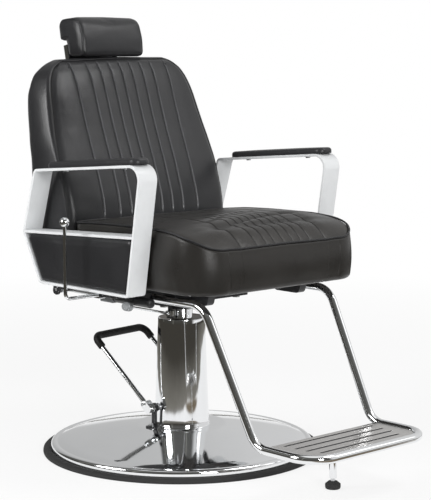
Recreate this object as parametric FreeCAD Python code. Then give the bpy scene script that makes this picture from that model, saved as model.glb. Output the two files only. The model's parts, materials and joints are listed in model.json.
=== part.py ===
import FreeCAD, Part
import math
import os

# Layout: the origin is on the floor under the column, the chair faces -Y and +Z is up.
# "Right" is the sitter's right, -X. Lengths in mm, angles in degrees.

# Base and pump
BASE_D = 640.0
BASE_RING_H = 11.0
BASE_RING_W = 17.7
BASE_RIM_H = 23.0
BASE_HUB_Z = 60.0
BASE_HUB_R = 105.0
BASE_SHEET = 3.0
SLEEVE_BOTTOM_R = 64.0
SLEEVE_TOP_R = 54.0
SLEEVE_TOP_Z = 309.0
SLEEVE_WALL = 2.0
PUMP_BODY_R = 42.0
PUMP_BODY_TOP_Z = 118.0
CYLINDER_R = 33.0
PISTON_R = 25.0
PISTON_SHOWN = 21.0
SPIGOT_R = 20.0
PUMP_BOLT_CIRCLE_R = 88.0
PUMP_FLANGE_T = 8.0
BASE_LIP_Z = 4.0
PUMP_TURN = 8.0

# Pedal, before the pump is turned by PUMP_TURN
PEDAL_SHAFT_Y = 23.5
PEDAL_SHAFT_Z = 104.0
PEDAL_SHAFT_R = 7.0
PEDAL_HALF_W = 86.0
PEDAL_REACH = 227.0
PEDAL_ANGLE = 41.0
PEDAL_ROD_R = 5.5
PEDAL_GRIP_R = 8.7
PEDAL_BEND_R = 19.0
PEDAL_ROD_START = 9.5
PEDAL_CLAMP_OUT = 8.0
PEDAL_CLAMP_H = 19.0
PEDAL_CLAMP_REACH = 22.0

# Seat head and under-seat frame
HUB_R = 32.0
HUB_H = 27.0
HEAD_PLATE_X = 264.0
HEAD_PLATE_Y = 180.0
HEAD_PLATE_T = 6.0
RAIL_X = 110.0
RAIL_W = 40.0
RAIL_H = 32.5
RAIL_WALL = 3.0
STRAP_W = 40.0
STRAP_T = 5.5
STRAP_YS = (-95.0, 60.0)
BATTEN_T = 10.0

# Seat cushion
SEAT_W = 488.0
SEAT_FRONT_Y = -335.0
SEAT_REAR_Y = 92.0
SEAT_CORNER_R = 70.0
SEAT_REAR_CORNER_R = 30.0
SEAT_EDGE_R = 10.0
SEAT_SEAMS = (-127.0, -80.0, -52.0, -27.0, 0.0, 27.0, 52.0, 80.0, 127.0)
SEAT_SEAM_RISE = 1.6
BOARD_T = 11.0
BOARD_MARGIN = 31.0
LOFT_STEP = 10.0

# Arms
SIDE_GAP = 8.0
ARM_BAND_W = 50.0
ARM_BAND_T = 6.0
ARM_FRONT_TOP = (-216.0, 282.0)
ARM_FRONT_BOTTOM = (-170.0, 0.0)
ARM_REAR_BOTTOM = (136.0, 0.0)
ARM_REAR_MIDDLE = (196.0, 112.0)
ARM_REAR_TOP = (152.0, 254.0)
ARM_MIDDLE_FRONT_H = 128.0
ARM_RADII = (32.0, 9.0, 11.0, 4.0, 14.0)
PAD_LENGTH = 308.0
PAD_FRONT_SET = 20.0
PAD_W = 46.0
PAD_T = 14.0
PAD_SCREW_YS = (67.0, -132.0)
PANEL_INSET = 6.0
PANEL_FACE_SET = 2.0
PANEL_EDGE_R = 7.0

# Footrest
TUBE_R = 9.5
TUBE_WALL = 1.5
TUBE_TOP_X = 190.0
TUBE_LOW_X = 177.0
TUBE_TOP_DROP = 25.0
TUBE_REAR_Y = -125.0
TUBE_KNEE_Y = -283.0
TUBE_LOW_Y = -428.0
TUBE_FRONT_Y = -592.0
TUBE_LOW_Z = 108.0
TUBE_KNEE_R = 55.0
TUBE_LOW_R = 50.0
TUBE_FRONT_R = 60.0
FOOTPLATE_T = 3.0
FOOTPLATE_REAR_Y = -450.0
FOOTPLATE_RISE = 4.0
SLOT_W = 6.0
SLOT_YS = (-467.0, -497.0, -525.0, -554.0)
SLOT_HALF_LENGTHS = (136.0, 134.0, 131.0, 120.0)
LEG_Y = -478.0
LEG_R = 8.25
FOOT_R = 16.5
FOOT_H = 16.0
FOOT_LIFT = 1.0
BRACKET_X0 = 129.0
BRACKET_X1 = 149.0
BRACKET_FRONT_Y = -254.0
BRACKET_DROP = 34.0
TUBE_BOLT_YS = (-169.0, -187.0)

# Backrest
BACK_LEAN = 12.0
BACK_BOTTOM_H = 59.0
BACK_SIDE_GAP = 6.2
BACK_SEAMS = (-142.0, -96.0, -63.0, -31.0, 0.0, 31.0, 63.0, 96.0, 142.0)
BACK_SEAM_RISE = 4.0
BACK_KINK_H = 249.0
BACK_REAR_Y = 260.0
COVER_T = 12.0
COVER_TOP_H = 405.0
PIVOT_Y = 131.0
PIVOT_H = 37.9
LEVER_DROP = 68.9
LEVER_SET_ANGLE = 17.5
LEVER_PIN_R = 4.0
PIVOT_R = 6.0
HINGE_T = 4.8
HINGE_SPACE = 0.6

# Recline lever, gas spring and swivel lock
SPRING_X = -222.0
SPRING_DROP = 31.0
SPRING_R = 10.5
SPRING_FRONT_Y = -157.0
SPRING_HEAD_Y = -35.0
SPRING_ROD_R = 5.0
HANDLE_X = -345.0
HANDLE_Y = -15.0
HANDLE_DROP = 24.0
HANDLE_H = 158.0
HANDLE_ROD_R = 4.0
HANDLE_BALL_R = 10.5
LOCK_STUD = (-42.0, -8.0)
LOCK_END = (-252.0, -111.0)
LOCK_END_DROP = 39.0
LOCK_STUD_R = 5.0
LOCK_STUD_H = 41.0
LOCK_ROD_R = 3.0

# Headrest
CARRIER_HALF_W = 75.0
CARRIER_T = 3.0
CARRIER_DEPTH = 14.0
CARRIER_LENGTH = 263.0
CARRIER_TOP_S = 277.0
GUIDE_S = (76.0, 162.0)
HEAD_HALF_W = 94.0
TILT_PIN = (312.0, 514.0)
TILT_PIN_R = 3.5
HEAD_STEP_LOW = (294.0, 490.5)
HEAD_STEP_HIGH = (306.0, 527.0)
CARRIER_OFF = 3.5
KNOB_SCREW_R = 4.0

# Clearances
SEAT_FIT = 0.3
RUN_FIT = 0.05
HOLE_FIT = 0.5
FACE_FIT = 0.2

# Positions that follow from the sizes above
HUB_Z = SLEEVE_TOP_Z + PISTON_SHOWN
PLATE_Z = HUB_Z + HUB_H
RAIL_Z = PLATE_Z + HEAD_PLATE_T
STRAP_Z = RAIL_Z + RAIL_H
ARM_Z = STRAP_Z + STRAP_T
SEAT_Z = ARM_Z + BATTEN_T
ARM_IN_X = SEAT_W / 2 + SIDE_GAP
ARM_OUT_X = ARM_IN_X + ARM_BAND_W
BACK_HALF_W = SEAT_W / 2 - BACK_SIDE_GAP
PIVOT_Z = SEAT_Z + PIVOT_H
LEVER_Z = PIVOT_Z - LEVER_DROP
KINK_Z = SEAT_Z + BACK_KINK_H
SPRING_Z = SEAT_Z - SPRING_DROP
HANDLE_Z = SEAT_Z - HANDLE_DROP
HINGE_X = SEAT_W / 2 + HINGE_SPACE
UP = FreeCAD.Vector(0, 0, 1)
ALONG_X = FreeCAD.Vector(1, 0, 0)
ORIGIN = FreeCAD.Vector(0, 0, 0)


def vec(x, y, z):
    return FreeCAD.Vector(x, y, z)


def unit(v):
    return v * (1.0 / v.Length)


def line(a, b):
    return Part.LineSegment(a, b).toShape()


def arc(a, b, c):
    return Part.Arc(a, b, c).toShape()


def block(x0, x1, y0, y1, z0, z1):
    return Part.makeBox(x1 - x0, y1 - y0, z1 - z0, vec(x0, y0, z0))


def rod(start, end, radius):
    return Part.makeCylinder(radius, (end - start).Length, start, end - start)


def rod_x(x0, x1, y, z, radius):
    return rod(vec(x0, y, z), vec(x1, y, z), radius)


def rod_z(x, y, z0, z1, radius):
    return rod(vec(x, y, z0), vec(x, y, z1), radius)


def hexagon_z(x, y, z0, height, across):
    reach = across / math.sqrt(3)
    corners = [vec(x + reach * math.cos(math.radians(60 * i)), y + reach * math.sin(math.radians(60 * i)), z0)
               for i in range(6)]
    return Part.Face(Part.makePolygon(corners + corners[:1])).extrude(vec(0, 0, height))


def both_sides(shape):
    """The shape and its mirror image across the middle plane."""
    return [shape, shape.mirror(ORIGIN, ALONG_X)]


def corner_arc(before, corner, after, radius):
    """Start, middle and end of the arc that rounds one corner."""
    a = unit(before - corner)
    b = unit(after - corner)
    half = a.getAngle(b) / 2
    reach = radius / math.tan(half)
    middle = corner + unit(a + b) * (radius / math.sin(half) - radius)
    return corner + a * reach, middle, corner + b * reach


def rounded_loop(points, radii):
    """Closed wire through the points, each corner rounded by its radius."""
    count = len(points)
    corners = [corner_arc(points[i - 1], points[i], points[(i + 1) % count], radii[i]) for i in range(count)]
    edges = []
    for i in range(count):
        edges.append(line(corners[i - 1][2], corners[i][0]))
        edges.append(arc(*corners[i]))
    return Part.Wire(edges)


def rounded_path(points, radii):
    """Open wire through the points, the inner corners rounded."""
    edges = []
    start = points[0]
    for i in range(1, len(points) - 1):
        entry, middle, leave = corner_arc(points[i - 1], points[i], points[i + 1], radii[i - 1])
        edges.append(line(start, entry))
        edges.append(arc(entry, middle, leave))
        start = leave
    edges.append(line(start, points[-1]))
    return Part.Wire(edges)


def swept(path, radius):
    """Round bar along a wire."""
    first = path.OrderedEdges[0]
    start = first.valueAt(first.FirstParameter)
    ahead = first.valueAt(first.LastParameter) - start
    ring = Part.Wire(Part.makeCircle(radius, start, ahead))
    return path.makePipeShell([ring], True, False)


def inset(points, distances):
    """Polygon of (a, b) points with each side moved inward by its own distance."""
    count = len(points)
    area = sum(points[i][0] * points[(i + 1) % count][1] - points[(i + 1) % count][0] * points[i][1]
               for i in range(count))
    side = 1.0 if area > 0 else -1.0
    lines = []
    for i in range(count):
        a0, b0 = points[i]
        a1, b1 = points[(i + 1) % count]
        length = math.hypot(a1 - a0, b1 - b0)
        na = -side * (b1 - b0) / length
        nb = side * (a1 - a0) / length
        lines.append((na, nb, na * a0 + nb * b0 + distances[i]))
    moved = []
    for i in range(count):
        p = lines[i - 1]
        q = lines[i]
        det = p[0] * q[1] - q[0] * p[1]
        moved.append(((p[2] * q[1] - q[2] * p[1]) / det, (p[0] * q[2] - q[0] * p[2]) / det))
    return moved


def side_wire(points, radii, x):
    """Rounded closed wire in the plane across X, from (y, z) points."""
    return rounded_loop([vec(x, a, b) for a, b in points], radii)


def side_prism(points, radii, x0, x1):
    return Part.Face(side_wire(points, radii, x0)).extrude(vec(x1 - x0, 0, 0))


def plan_prism(points, radii, z0, z1):
    loop = rounded_loop([vec(a, b, z0) for a, b in points], radii)
    return Part.Face(loop).extrude(vec(0, 0, z1 - z0))


def lathe(points):
    """Ring or disc about the Z axis from (radius, z) points."""
    outline = [vec(r, 0, z) for r, z in points]
    return Part.Face(Part.makePolygon(outline + outline[:1])).revolve(ORIGIN, UP, 360)


def turned(shape):
    """Pump parts stand turned about the column."""
    copy = shape.copy()
    copy.rotate(ORIGIN, UP, PUMP_TURN)
    return copy


def edges_at(shape, test):
    return [e for e in shape.Edges if test(e.BoundBox)]


def eased(table, at):
    """Row of the table at a place between its stations, on a curve that never overshoots them."""
    last = len(table) - 2
    i = max(j for j in range(last + 1) if j == 0 or table[j][0] <= at)
    place = (at - table[i][0]) / (table[i + 1][0] - table[i][0])
    row = [at]
    for k in range(1, len(table[0])):
        slopes = [(table[j + 1][k] - table[j][k]) / (table[j + 1][0] - table[j][0]) for j in range(last + 1)]
        ends = []
        for j in (i, i + 1):
            before = slopes[max(j - 1, 0)]
            after = slopes[min(j, last)]
            ends.append(2 * before * after / (before + after) if before * after > 0 else 0.0)
        step = table[i + 1][0] - table[i][0]
        a = table[i][k]
        b = table[i + 1][k]
        t = place
        row.append(a * (1 + 2 * t) * (1 - t) ** 2 + b * t * t * (3 - 2 * t)
                   + step * t * (1 - t) * (ends[0] * (1 - t) - ends[1] * t))
    return row


def even_stations(table, spacing):
    """The table read again at equal steps, which keeps a loft through the rows smooth."""
    start = table[0][0]
    length = table[-1][0] - start
    count = round(length / spacing)
    return [eased(table, start + length * i / count) for i in range(count + 1)]


# Base and pump

def bolt_spots(radius, first_angle):
    angles = [math.radians(first_angle + 90 * i) for i in range(4)]
    return [(radius * math.cos(a), radius * math.sin(a)) for a in angles]


def base_disc():
    rim = BASE_D / 2 - BASE_RING_W
    t = BASE_SHEET
    top = BASE_HUB_Z
    disc = lathe([(PUMP_BODY_R + 1, top), (BASE_HUB_R, top), (rim - 14, BASE_RIM_H + 3),
                  (rim, BASE_RIM_H - 1), (rim, BASE_LIP_Z), (rim - t, BASE_LIP_Z),
                  (rim - t, BASE_RIM_H - 4), (rim - 14.5, BASE_RIM_H), (BASE_HUB_R - 0.5, top - t),
                  (PUMP_BODY_R + 1, top - t)])
    return [turned(disc.cut(both_sides(bracket_screw_hole(HOLE_FIT))))]


def base_rim_ring():
    out = BASE_D / 2
    rim = out - BASE_RING_W
    t = BASE_SHEET
    f = SEAT_FIT
    low = BASE_LIP_Z - f
    ring = lathe([(rim - 12, 0), (out, 0), (out, BASE_RING_H - 5), (out - 1, BASE_RING_H - 2.5),
                  (out - 4, BASE_RING_H - 0.8), (rim + f, BASE_RING_H), (rim + f, low),
                  (rim - t - f, low), (rim - t - f, 15), (rim - 12, 15)])
    return [ring]


def pump_body():
    top = BASE_HUB_Z - BASE_SHEET
    body = rod_z(0, 0, 0, PUMP_BODY_TOP_Z, PUMP_BODY_R)
    body = body.fuse(rod_z(0, 0, top - PUMP_FLANGE_T, top, BASE_HUB_R - 6))
    body = body.cut(rod_x(-60, 60, PEDAL_SHAFT_Y, PEDAL_SHAFT_Z, PEDAL_SHAFT_R + RUN_FIT))
    for x, y in bolt_spots(PUMP_BOLT_CIRCLE_R, 45):
        body = body.cut(rod_z(x, y, top - PUMP_FLANGE_T - 1, top + 1, 5 + RUN_FIT))
    return [turned(body.cut(both_sides(bracket_screw_hole(RUN_FIT))).removeSplitter())]


def pump_bolts():
    """Studs welded under the disc, each with the washer and nut that hold the flange."""
    top = BASE_HUB_Z - BASE_SHEET
    under = top - PUMP_FLANGE_T
    bolts = []
    for x, y in bolt_spots(PUMP_BOLT_CIRCLE_R, 45):
        washer = rod_z(x, y, under - 1.5, under, 9.5)
        nut = hexagon_z(x, y, under - 9.5, 8, 16)
        stud = rod_z(x, y, under - 13, top, 5)
        bolts.append(turned(washer.fuse([nut, stud]).removeSplitter()))
    return bolts


def pump_cylinder():
    tube = rod_z(0, 0, PUMP_BODY_TOP_Z, SLEEVE_TOP_Z - 5, CYLINDER_R)
    return [tube.cut(rod_z(0, 0, 0, SLEEVE_TOP_Z, PISTON_R + RUN_FIT))]


def cylinder_bush():
    inner = SLEEVE_TOP_R - SLEEVE_WALL - SEAT_FIT
    bush = rod_z(0, 0, SLEEVE_TOP_Z - 5, SLEEVE_TOP_Z - 1, inner)
    return [bush.cut(rod_z(0, 0, 0, SLEEVE_TOP_Z, PISTON_R + RUN_FIT))]


def pump_sleeve():
    z0 = BASE_HUB_Z
    z1 = SLEEVE_TOP_Z
    w = SLEEVE_WALL
    sleeve = lathe([(SLEEVE_BOTTOM_R + 2, z0), (SLEEVE_BOTTOM_R + 1, z0 + 3), (SLEEVE_BOTTOM_R - 1, z0 + 9),
                    (SLEEVE_TOP_R, z1 - 1), (SLEEVE_TOP_R - 0.6, z1), (SLEEVE_TOP_R - w, z1),
                    (SLEEVE_BOTTOM_R - 1 - w, z0 + 9), (SLEEVE_BOTTOM_R - w, z0)])
    hole = rod_x(-90, 90, PEDAL_SHAFT_Y, PEDAL_SHAFT_Z, PEDAL_SHAFT_R + 1.5)
    return [turned(sleeve.cut(hole))]


def shaft_brackets():
    """Two angle brackets on the base that carry the pedal shaft outside the sleeve."""
    x0 = SLEEVE_BOTTOM_R + 3
    y = PEDAL_SHAFT_Y
    eye = rod_x(x0, x0 + 7, y, PEDAL_SHAFT_Z, PEDAL_SHAFT_R + 4)
    stem = block(x0, x0 + 5, y - 6, y + 6, BASE_HUB_Z, PEDAL_SHAFT_Z)
    foot = block(x0, x0 + 23, y - 8, y + 8, BASE_HUB_Z, BASE_HUB_Z + 4)
    bracket = stem.fuse([eye, foot]).cut(rod_x(0, 120, y, PEDAL_SHAFT_Z, PEDAL_SHAFT_R + RUN_FIT))
    bracket = bracket.cut(bracket_screw_hole(RUN_FIT)).removeSplitter()
    return [turned(s) for s in both_sides(bracket)]


def bracket_screw_hole(fit):
    return rod_z(SLEEVE_BOTTOM_R + 17, PEDAL_SHAFT_Y, 0, BASE_HUB_Z + 10, 3 + fit)


def bracket_screws():
    x = SLEEVE_BOTTOM_R + 17
    y = PEDAL_SHAFT_Y
    head = hexagon_z(x, y, BASE_HUB_Z + 4, 4, 10)
    screw = head.fuse(rod_z(x, y, BASE_HUB_Z - 10, BASE_HUB_Z + 5, 3)).removeSplitter()
    return [turned(s) for s in both_sides(screw)]


# Pedal

def pedal_point(x, reach):
    a = math.radians(PEDAL_ANGLE)
    return vec(x, PEDAL_SHAFT_Y + reach * math.cos(a), PEDAL_SHAFT_Z + reach * math.sin(a))


def pedal_path(start, corners_at):
    w = PEDAL_HALF_W
    points = [pedal_point(-w, start), pedal_point(-w, corners_at),
              pedal_point(w, corners_at), pedal_point(w, start)]
    return rounded_path(points, (PEDAL_BEND_R, PEDAL_BEND_R))


def pedal_shaft():
    half = PEDAL_HALF_W + PEDAL_CLAMP_OUT - 1
    return [turned(rod_x(-half, half, PEDAL_SHAFT_Y, PEDAL_SHAFT_Z, PEDAL_SHAFT_R))]


def pedal_rod():
    return [turned(swept(pedal_path(PEDAL_ROD_START, PEDAL_REACH), PEDAL_ROD_R))]


def pedal_grip():
    covered = PEDAL_REACH - PEDAL_BEND_R - 16
    grip = swept(pedal_path(covered, PEDAL_REACH), PEDAL_GRIP_R)
    bore = swept(pedal_path(PEDAL_ROD_START, PEDAL_REACH), PEDAL_ROD_R)
    return [turned(grip.cut(bore))]


def pedal_clamps():
    y = PEDAL_SHAFT_Y
    z = PEDAL_SHAFT_Z
    w = PEDAL_HALF_W
    h = PEDAL_CLAMP_H / 2
    clamp = block(w - 10, w + PEDAL_CLAMP_OUT, y - h, y + PEDAL_CLAMP_REACH, z - h, z + h)
    clamp = clamp.makeFillet(h - 1, edges_at(clamp, lambda b: b.XLength > 15))
    clamp.rotate(vec(0, y, z), ALONG_X, PEDAL_ANGLE)
    clamp = clamp.cut(rod_x(w - 20, w + PEDAL_CLAMP_OUT - 1, y, z, PEDAL_SHAFT_R + RUN_FIT))
    clamp = clamp.cut(rod(pedal_point(w, PEDAL_ROD_START), pedal_point(w, 60), PEDAL_ROD_R + RUN_FIT))
    return [turned(s) for s in both_sides(clamp)]


def pedal_clamp_screws():
    spot = pedal_point(PEDAL_HALF_W + PEDAL_CLAMP_OUT, PEDAL_CLAMP_REACH - 6)
    head = rod(spot, spot + vec(4, 0, 0), 4)
    socket = rod(spot + vec(1.5, 0, 0), spot + vec(5, 0, 0), 2.2)
    return [turned(s) for s in both_sides(head.cut(socket))]


# Piston and swivelling head

def piston():
    body = rod_z(0, 0, PUMP_BODY_TOP_Z + FACE_FIT, HUB_Z, PISTON_R)
    return [body.fuse(rod_z(0, 0, HUB_Z, PLATE_Z - 0.5, SPIGOT_R)).removeSplitter()]


def head_hub():
    hub = rod_z(0, 0, HUB_Z + FACE_FIT, PLATE_Z, HUB_R)
    hub = hub.cut(rod_z(0, 0, HUB_Z, PLATE_Z + 1, SPIGOT_R + RUN_FIT))
    return [hub]


def head_plate_spots():
    return [(sx * RAIL_X, sy * (HEAD_PLATE_Y / 2 - 25)) for sx in (-1, 1) for sy in (-1, 1)]


def head_plate():
    x = HEAD_PLATE_X / 2
    y = HEAD_PLATE_Y / 2
    plate = plan_prism([(-x, -y), (x, -y), (x, y), (-x, y)], (14, 14, 14, 14), PLATE_Z, RAIL_Z)
    for px, py in head_plate_spots():
        plate = plate.cut(rod_z(px, py, PLATE_Z - 1, RAIL_Z + 1, 5 + HOLE_FIT))
    end = PLATE_Z - LOCK_STUD_H
    stud = rod_z(LOCK_STUD[0], LOCK_STUD[1], end, PLATE_Z, LOCK_STUD_R)
    cap = rod_z(LOCK_STUD[0], LOCK_STUD[1], end - 4, end, LOCK_STUD_R + 3)
    return [plate.fuse([stud, cap]).removeSplitter()]


def head_plate_bolts():
    bolts = []
    for x, y in head_plate_spots():
        head = hexagon_z(x, y, PLATE_Z - 6.4, 6.4, 16)
        shank = rod_z(x, y, PLATE_Z - 1, RAIL_Z + RAIL_WALL + 7, 5)
        bolts.append(head.fuse(shank).removeSplitter())
    return bolts


def frame_rails():
    half = RAIL_W / 2
    y0 = STRAP_YS[0] - STRAP_W / 2 - 3
    y1 = SEAT_REAR_Y + 3
    rail = block(RAIL_X - half, RAIL_X + half, y0, y1, RAIL_Z, STRAP_Z)
    rail = rail.makeFillet(4, edges_at(rail, lambda b: b.YLength > 100))
    rail = rail.cut(side_cut(y0, RAIL_X - half - 1, RAIL_X + half + 1))
    w = RAIL_WALL
    rail = rail.cut(block(RAIL_X - half + w, RAIL_X + half - w, y0 - 1, y1 + 1, RAIL_Z + w, STRAP_Z - w))
    for px, py in head_plate_spots():
        rail = rail.cut(rod_z(px, py, RAIL_Z - 1, RAIL_Z + w + 1, 5 + RUN_FIT))
    return both_sides(rail)


def side_cut(y0, x0, x1):
    """Wedge that slopes the front end of a rail up towards the seat."""
    points = [(y0 - 1, RAIL_Z - 1), (y0 + 27, RAIL_Z - 1), (y0 - 1, STRAP_Z - 8)]
    face = Part.Face(Part.makePolygon([vec(x0, y, z) for y, z in points + points[:1]]))
    return face.extrude(vec(x1 - x0, 0, 0))


def arm_bolt_spots():
    x = (ARM_IN_X + ARM_OUT_X) / 2
    return [(sx * x, y) for sx in (-1, 1) for y in STRAP_YS]


def frame_straps():
    straps = []
    x = ARM_OUT_X - 4
    for y in STRAP_YS:
        h = STRAP_W / 2
        corners = [(-x, y - h), (x, y - h), (x, y + h), (-x, y + h)]
        strap = plan_prism(corners, (10, 10, 10, 10), STRAP_Z, ARM_Z)
        for px, py in arm_bolt_spots():
            strap = strap.cut(rod_z(px, py, STRAP_Z - 1, ARM_Z + 1, 4 + RUN_FIT))
        straps.append(strap)
    return straps


def seat_battens():
    x = SEAT_W / 2 - BOARD_MARGIN - 15
    return [block(-x, x, y - STRAP_W / 2, y + STRAP_W / 2, ARM_Z, SEAT_Z) for y in STRAP_YS]


# Seat

def seat_profile():
    """Stations along the seat: y, height of the side edge and of the middle above the underside."""
    f = SEAT_FRONT_Y
    r = SEAT_REAR_Y
    return ((f - 12, 80, 84), (f, 91, 95), (f + 11, 96, 105), (f + 25, 103, 118), (f + 42, 112, 129),
            (f + 56, 118, 132), (f + 64, 121, 132), (f + 80, 124, 139), (f + 110, 127, 144),
            (f + 160, 130, 146), (f + 260, 130, 143), (r - 60, 128, 135), (r + 8, 123, 125))


def seat_section(y, side_h, middle_h):
    half = SEAT_W / 2 + 12
    top = SEAT_Z + middle_h
    edge = SEAT_Z + side_h
    seams = [vec(x, y, top - abs(x) * 0.012) for x in SEAT_SEAMS]
    edges = [line(vec(half, y, SEAT_Z), vec(-half, y, SEAT_Z))]
    edges.append(line(vec(-half, y, SEAT_Z), vec(-half, y, edge)))
    first = seams[0]
    last = seams[-1]
    rise = (top - edge) * 0.22 + 2
    edges.append(arc(vec(-half, y, edge), vec((first.x - half) / 2, y, (edge + first.z) / 2 + rise), first))
    for a, b in zip(seams[:-1], seams[1:]):
        edges.append(arc(a, vec((a.x + b.x) / 2, y, (a.z + b.z) / 2 + SEAT_SEAM_RISE), b))
    edges.append(arc(last, vec((last.x + half) / 2, y, (edge + last.z) / 2 + rise), vec(half, y, edge)))
    edges.append(line(vec(half, y, edge), vec(half, y, SEAT_Z)))
    return Part.Wire(edges)


def board_outline(margin):
    x = SEAT_W / 2 - margin
    return [(-x, SEAT_FRONT_Y + margin), (x, SEAT_FRONT_Y + margin), (x, SEAT_REAR_Y - margin),
            (-x, SEAT_REAR_Y - margin)]


def seat_cushion():
    stations = even_stations(seat_profile(), LOFT_STEP)
    filled = Part.makeLoft([seat_section(*station) for station in stations], True, False)
    r = SEAT_CORNER_R
    q = SEAT_REAR_CORNER_R
    plan = plan_prism(board_outline(0), (r, r, q, q), SEAT_Z - 20, SEAT_Z + 300)
    cushion = plan.common(filled)
    cushion = cushion.makeFillet(SEAT_EDGE_R, edges_at(cushion, lambda b: b.ZMax < SEAT_Z + 0.01))
    pocket = plan_prism(board_outline(BOARD_MARGIN - SEAT_FIT), (r - 25, r - 25, q, q), SEAT_Z - 1,
                        SEAT_Z + BOARD_T + SEAT_FIT)
    return [cushion.cut(pocket)]


def seat_board():
    r = SEAT_CORNER_R - 25
    q = SEAT_REAR_CORNER_R
    return [plan_prism(board_outline(BOARD_MARGIN), (r, r, q, q), SEAT_Z, SEAT_Z + BOARD_T)]


# Arms

def arm_outline():
    """Corners of the arm band in (y, z): front top, front bottom, rear bottom, rear middle, rear top."""
    corners = (ARM_FRONT_TOP, ARM_FRONT_BOTTOM, ARM_REAR_BOTTOM, ARM_REAR_MIDDLE, ARM_REAR_TOP)
    return [(y, ARM_Z + h) for y, h in corners]


def middle_front():
    """Where the middle bar meets the front leg."""
    part = ARM_MIDDLE_FRONT_H / ARM_FRONT_TOP[1]
    y = ARM_FRONT_BOTTOM[0] + (ARM_FRONT_TOP[0] - ARM_FRONT_BOTTOM[0]) * part
    return (y, ARM_Z + ARM_MIDDLE_FRONT_H)


def lower_window(clearance):
    _, front, rear, middle, _ = arm_outline()
    t = ARM_BAND_T + clearance
    return inset([middle_front(), front, rear, middle], (t, t, t, ARM_BAND_T / 2 + clearance))


def upper_window():
    top, _, _, middle, rear_top = arm_outline()
    t = ARM_BAND_T
    return inset([top, middle_front(), middle, rear_top], (t, t / 2, t, t))


def arm_loop(side):
    band = side_prism(arm_outline(), ARM_RADII, ARM_IN_X, ARM_OUT_X)
    rt = ARM_RADII
    t = ARM_BAND_T
    above = side_prism(upper_window(), (rt[0] - t, 1, 1, rt[4] - t), ARM_IN_X - 1, ARM_OUT_X + 1)
    below = side_prism(lower_window(0), (3, 3, 5, 3), ARM_IN_X - 1, ARM_OUT_X + 1)
    band = band.cut(above).cut(below)
    for x, y in arm_bolt_spots():
        band = band.cut(rod_z(abs(x), y, ARM_Z - 1, ARM_Z + t + 1, 4 + RUN_FIT))
    for y in PAD_SCREW_YS:
        band = band.cut(pad_screw_hole(y, 2.6))
    return [both_sides(band)[side]]


def arm_panel(side):
    x0 = ARM_IN_X + PANEL_INSET
    x1 = ARM_OUT_X - PANEL_FACE_SET
    panel = side_prism(lower_window(SEAT_FIT), (12, 12, 12, 12), x0, x1)
    panel = panel.makeFillet(PANEL_EDGE_R, edges_at(panel, lambda b: b.XMin > x1 - 0.01))
    return [both_sides(panel)[side]]


def bar_slope():
    top = ARM_FRONT_TOP
    rear = ARM_REAR_TOP
    return math.degrees(math.atan2(top[1] - rear[1], rear[0] - top[0]))


def on_bar(shape):
    """Turns a part built level, at the front top corner of the arm, onto the sloping top bar."""
    shape.rotate(vec(0, ARM_FRONT_TOP[0], ARM_Z + ARM_FRONT_TOP[1]), ALONG_X, -bar_slope())
    return shape


def arm_pad(side):
    x = (ARM_IN_X + ARM_OUT_X) / 2
    h = PAD_W / 2
    y0 = ARM_FRONT_TOP[0] + PAD_FRONT_SET
    z0 = ARM_Z + ARM_FRONT_TOP[1]
    y1 = y0 + PAD_LENGTH
    pad = plan_prism([(x - h, y0), (x + h, y0), (x + h, y1), (x - h, y1)], (18, 18, 18, 18), z0, z0 + PAD_T)
    pad = pad.makeFillet(5.5, edges_at(pad, lambda b: b.ZMin > z0 + PAD_T - 0.01))
    pad = on_bar(pad)
    for y in PAD_SCREW_YS:
        pad = pad.cut(pad_screw_hole(y, 2.5 + RUN_FIT))
    return [both_sides(pad)[side]]


def pad_screw_place(y):
    """Point on the top face of the bar above a screw, and the direction up through the bar."""
    a = math.radians(bar_slope())
    z = ARM_Z + ARM_FRONT_TOP[1] - (y - ARM_FRONT_TOP[0]) * math.tan(a)
    return vec((ARM_IN_X + ARM_OUT_X) / 2, y, z), vec(0, math.sin(a), math.cos(a))


def pad_screw_hole(y, radius):
    spot, up = pad_screw_place(y)
    return rod(spot - up * 12, spot + up * 8, radius)


def arm_pad_screws():
    screws = []
    for y in PAD_SCREW_YS:
        spot, up = pad_screw_place(y)
        under = spot - up * ARM_BAND_T
        head = rod(under - up * 3, under, 5.5)
        shank = rod(under - up, spot + up * 7, 2.5)
        screws += both_sides(head.fuse(shank).removeSplitter())
    return screws


def arm_bolts():
    bolts = []
    for x, y in arm_bolt_spots():
        head = hexagon_z(x, y, STRAP_Z - 5.3, 5.3, 13)
        shank = rod_z(x, y, STRAP_Z - 1, ARM_Z + ARM_BAND_T - 0.1, 4)
        bolts.append(head.fuse(shank).removeSplitter())
    return bolts


# Footrest

def tube_path():
    top_z = SEAT_Z - TUBE_TOP_DROP
    points = []
    for s in (-1, 1):
        leg = [vec(s * TUBE_TOP_X, TUBE_REAR_Y, top_z), vec(s * TUBE_TOP_X, TUBE_KNEE_Y, top_z),
               vec(s * TUBE_LOW_X, TUBE_LOW_Y, TUBE_LOW_Z), vec(s * TUBE_LOW_X, TUBE_FRONT_Y, TUBE_LOW_Z)]
        points += leg if s < 0 else leg[::-1]
    radii = (TUBE_KNEE_R, TUBE_LOW_R, TUBE_FRONT_R, TUBE_FRONT_R, TUBE_LOW_R, TUBE_KNEE_R)
    return rounded_path(points, radii)


def footrest_tube():
    path = tube_path()
    tube = swept(path, TUBE_R).cut(swept(path, TUBE_R - TUBE_WALL))
    for hole in tube_bolt_holes(RUN_FIT):
        tube = tube.cut(both_sides(hole))
    return [tube]


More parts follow.
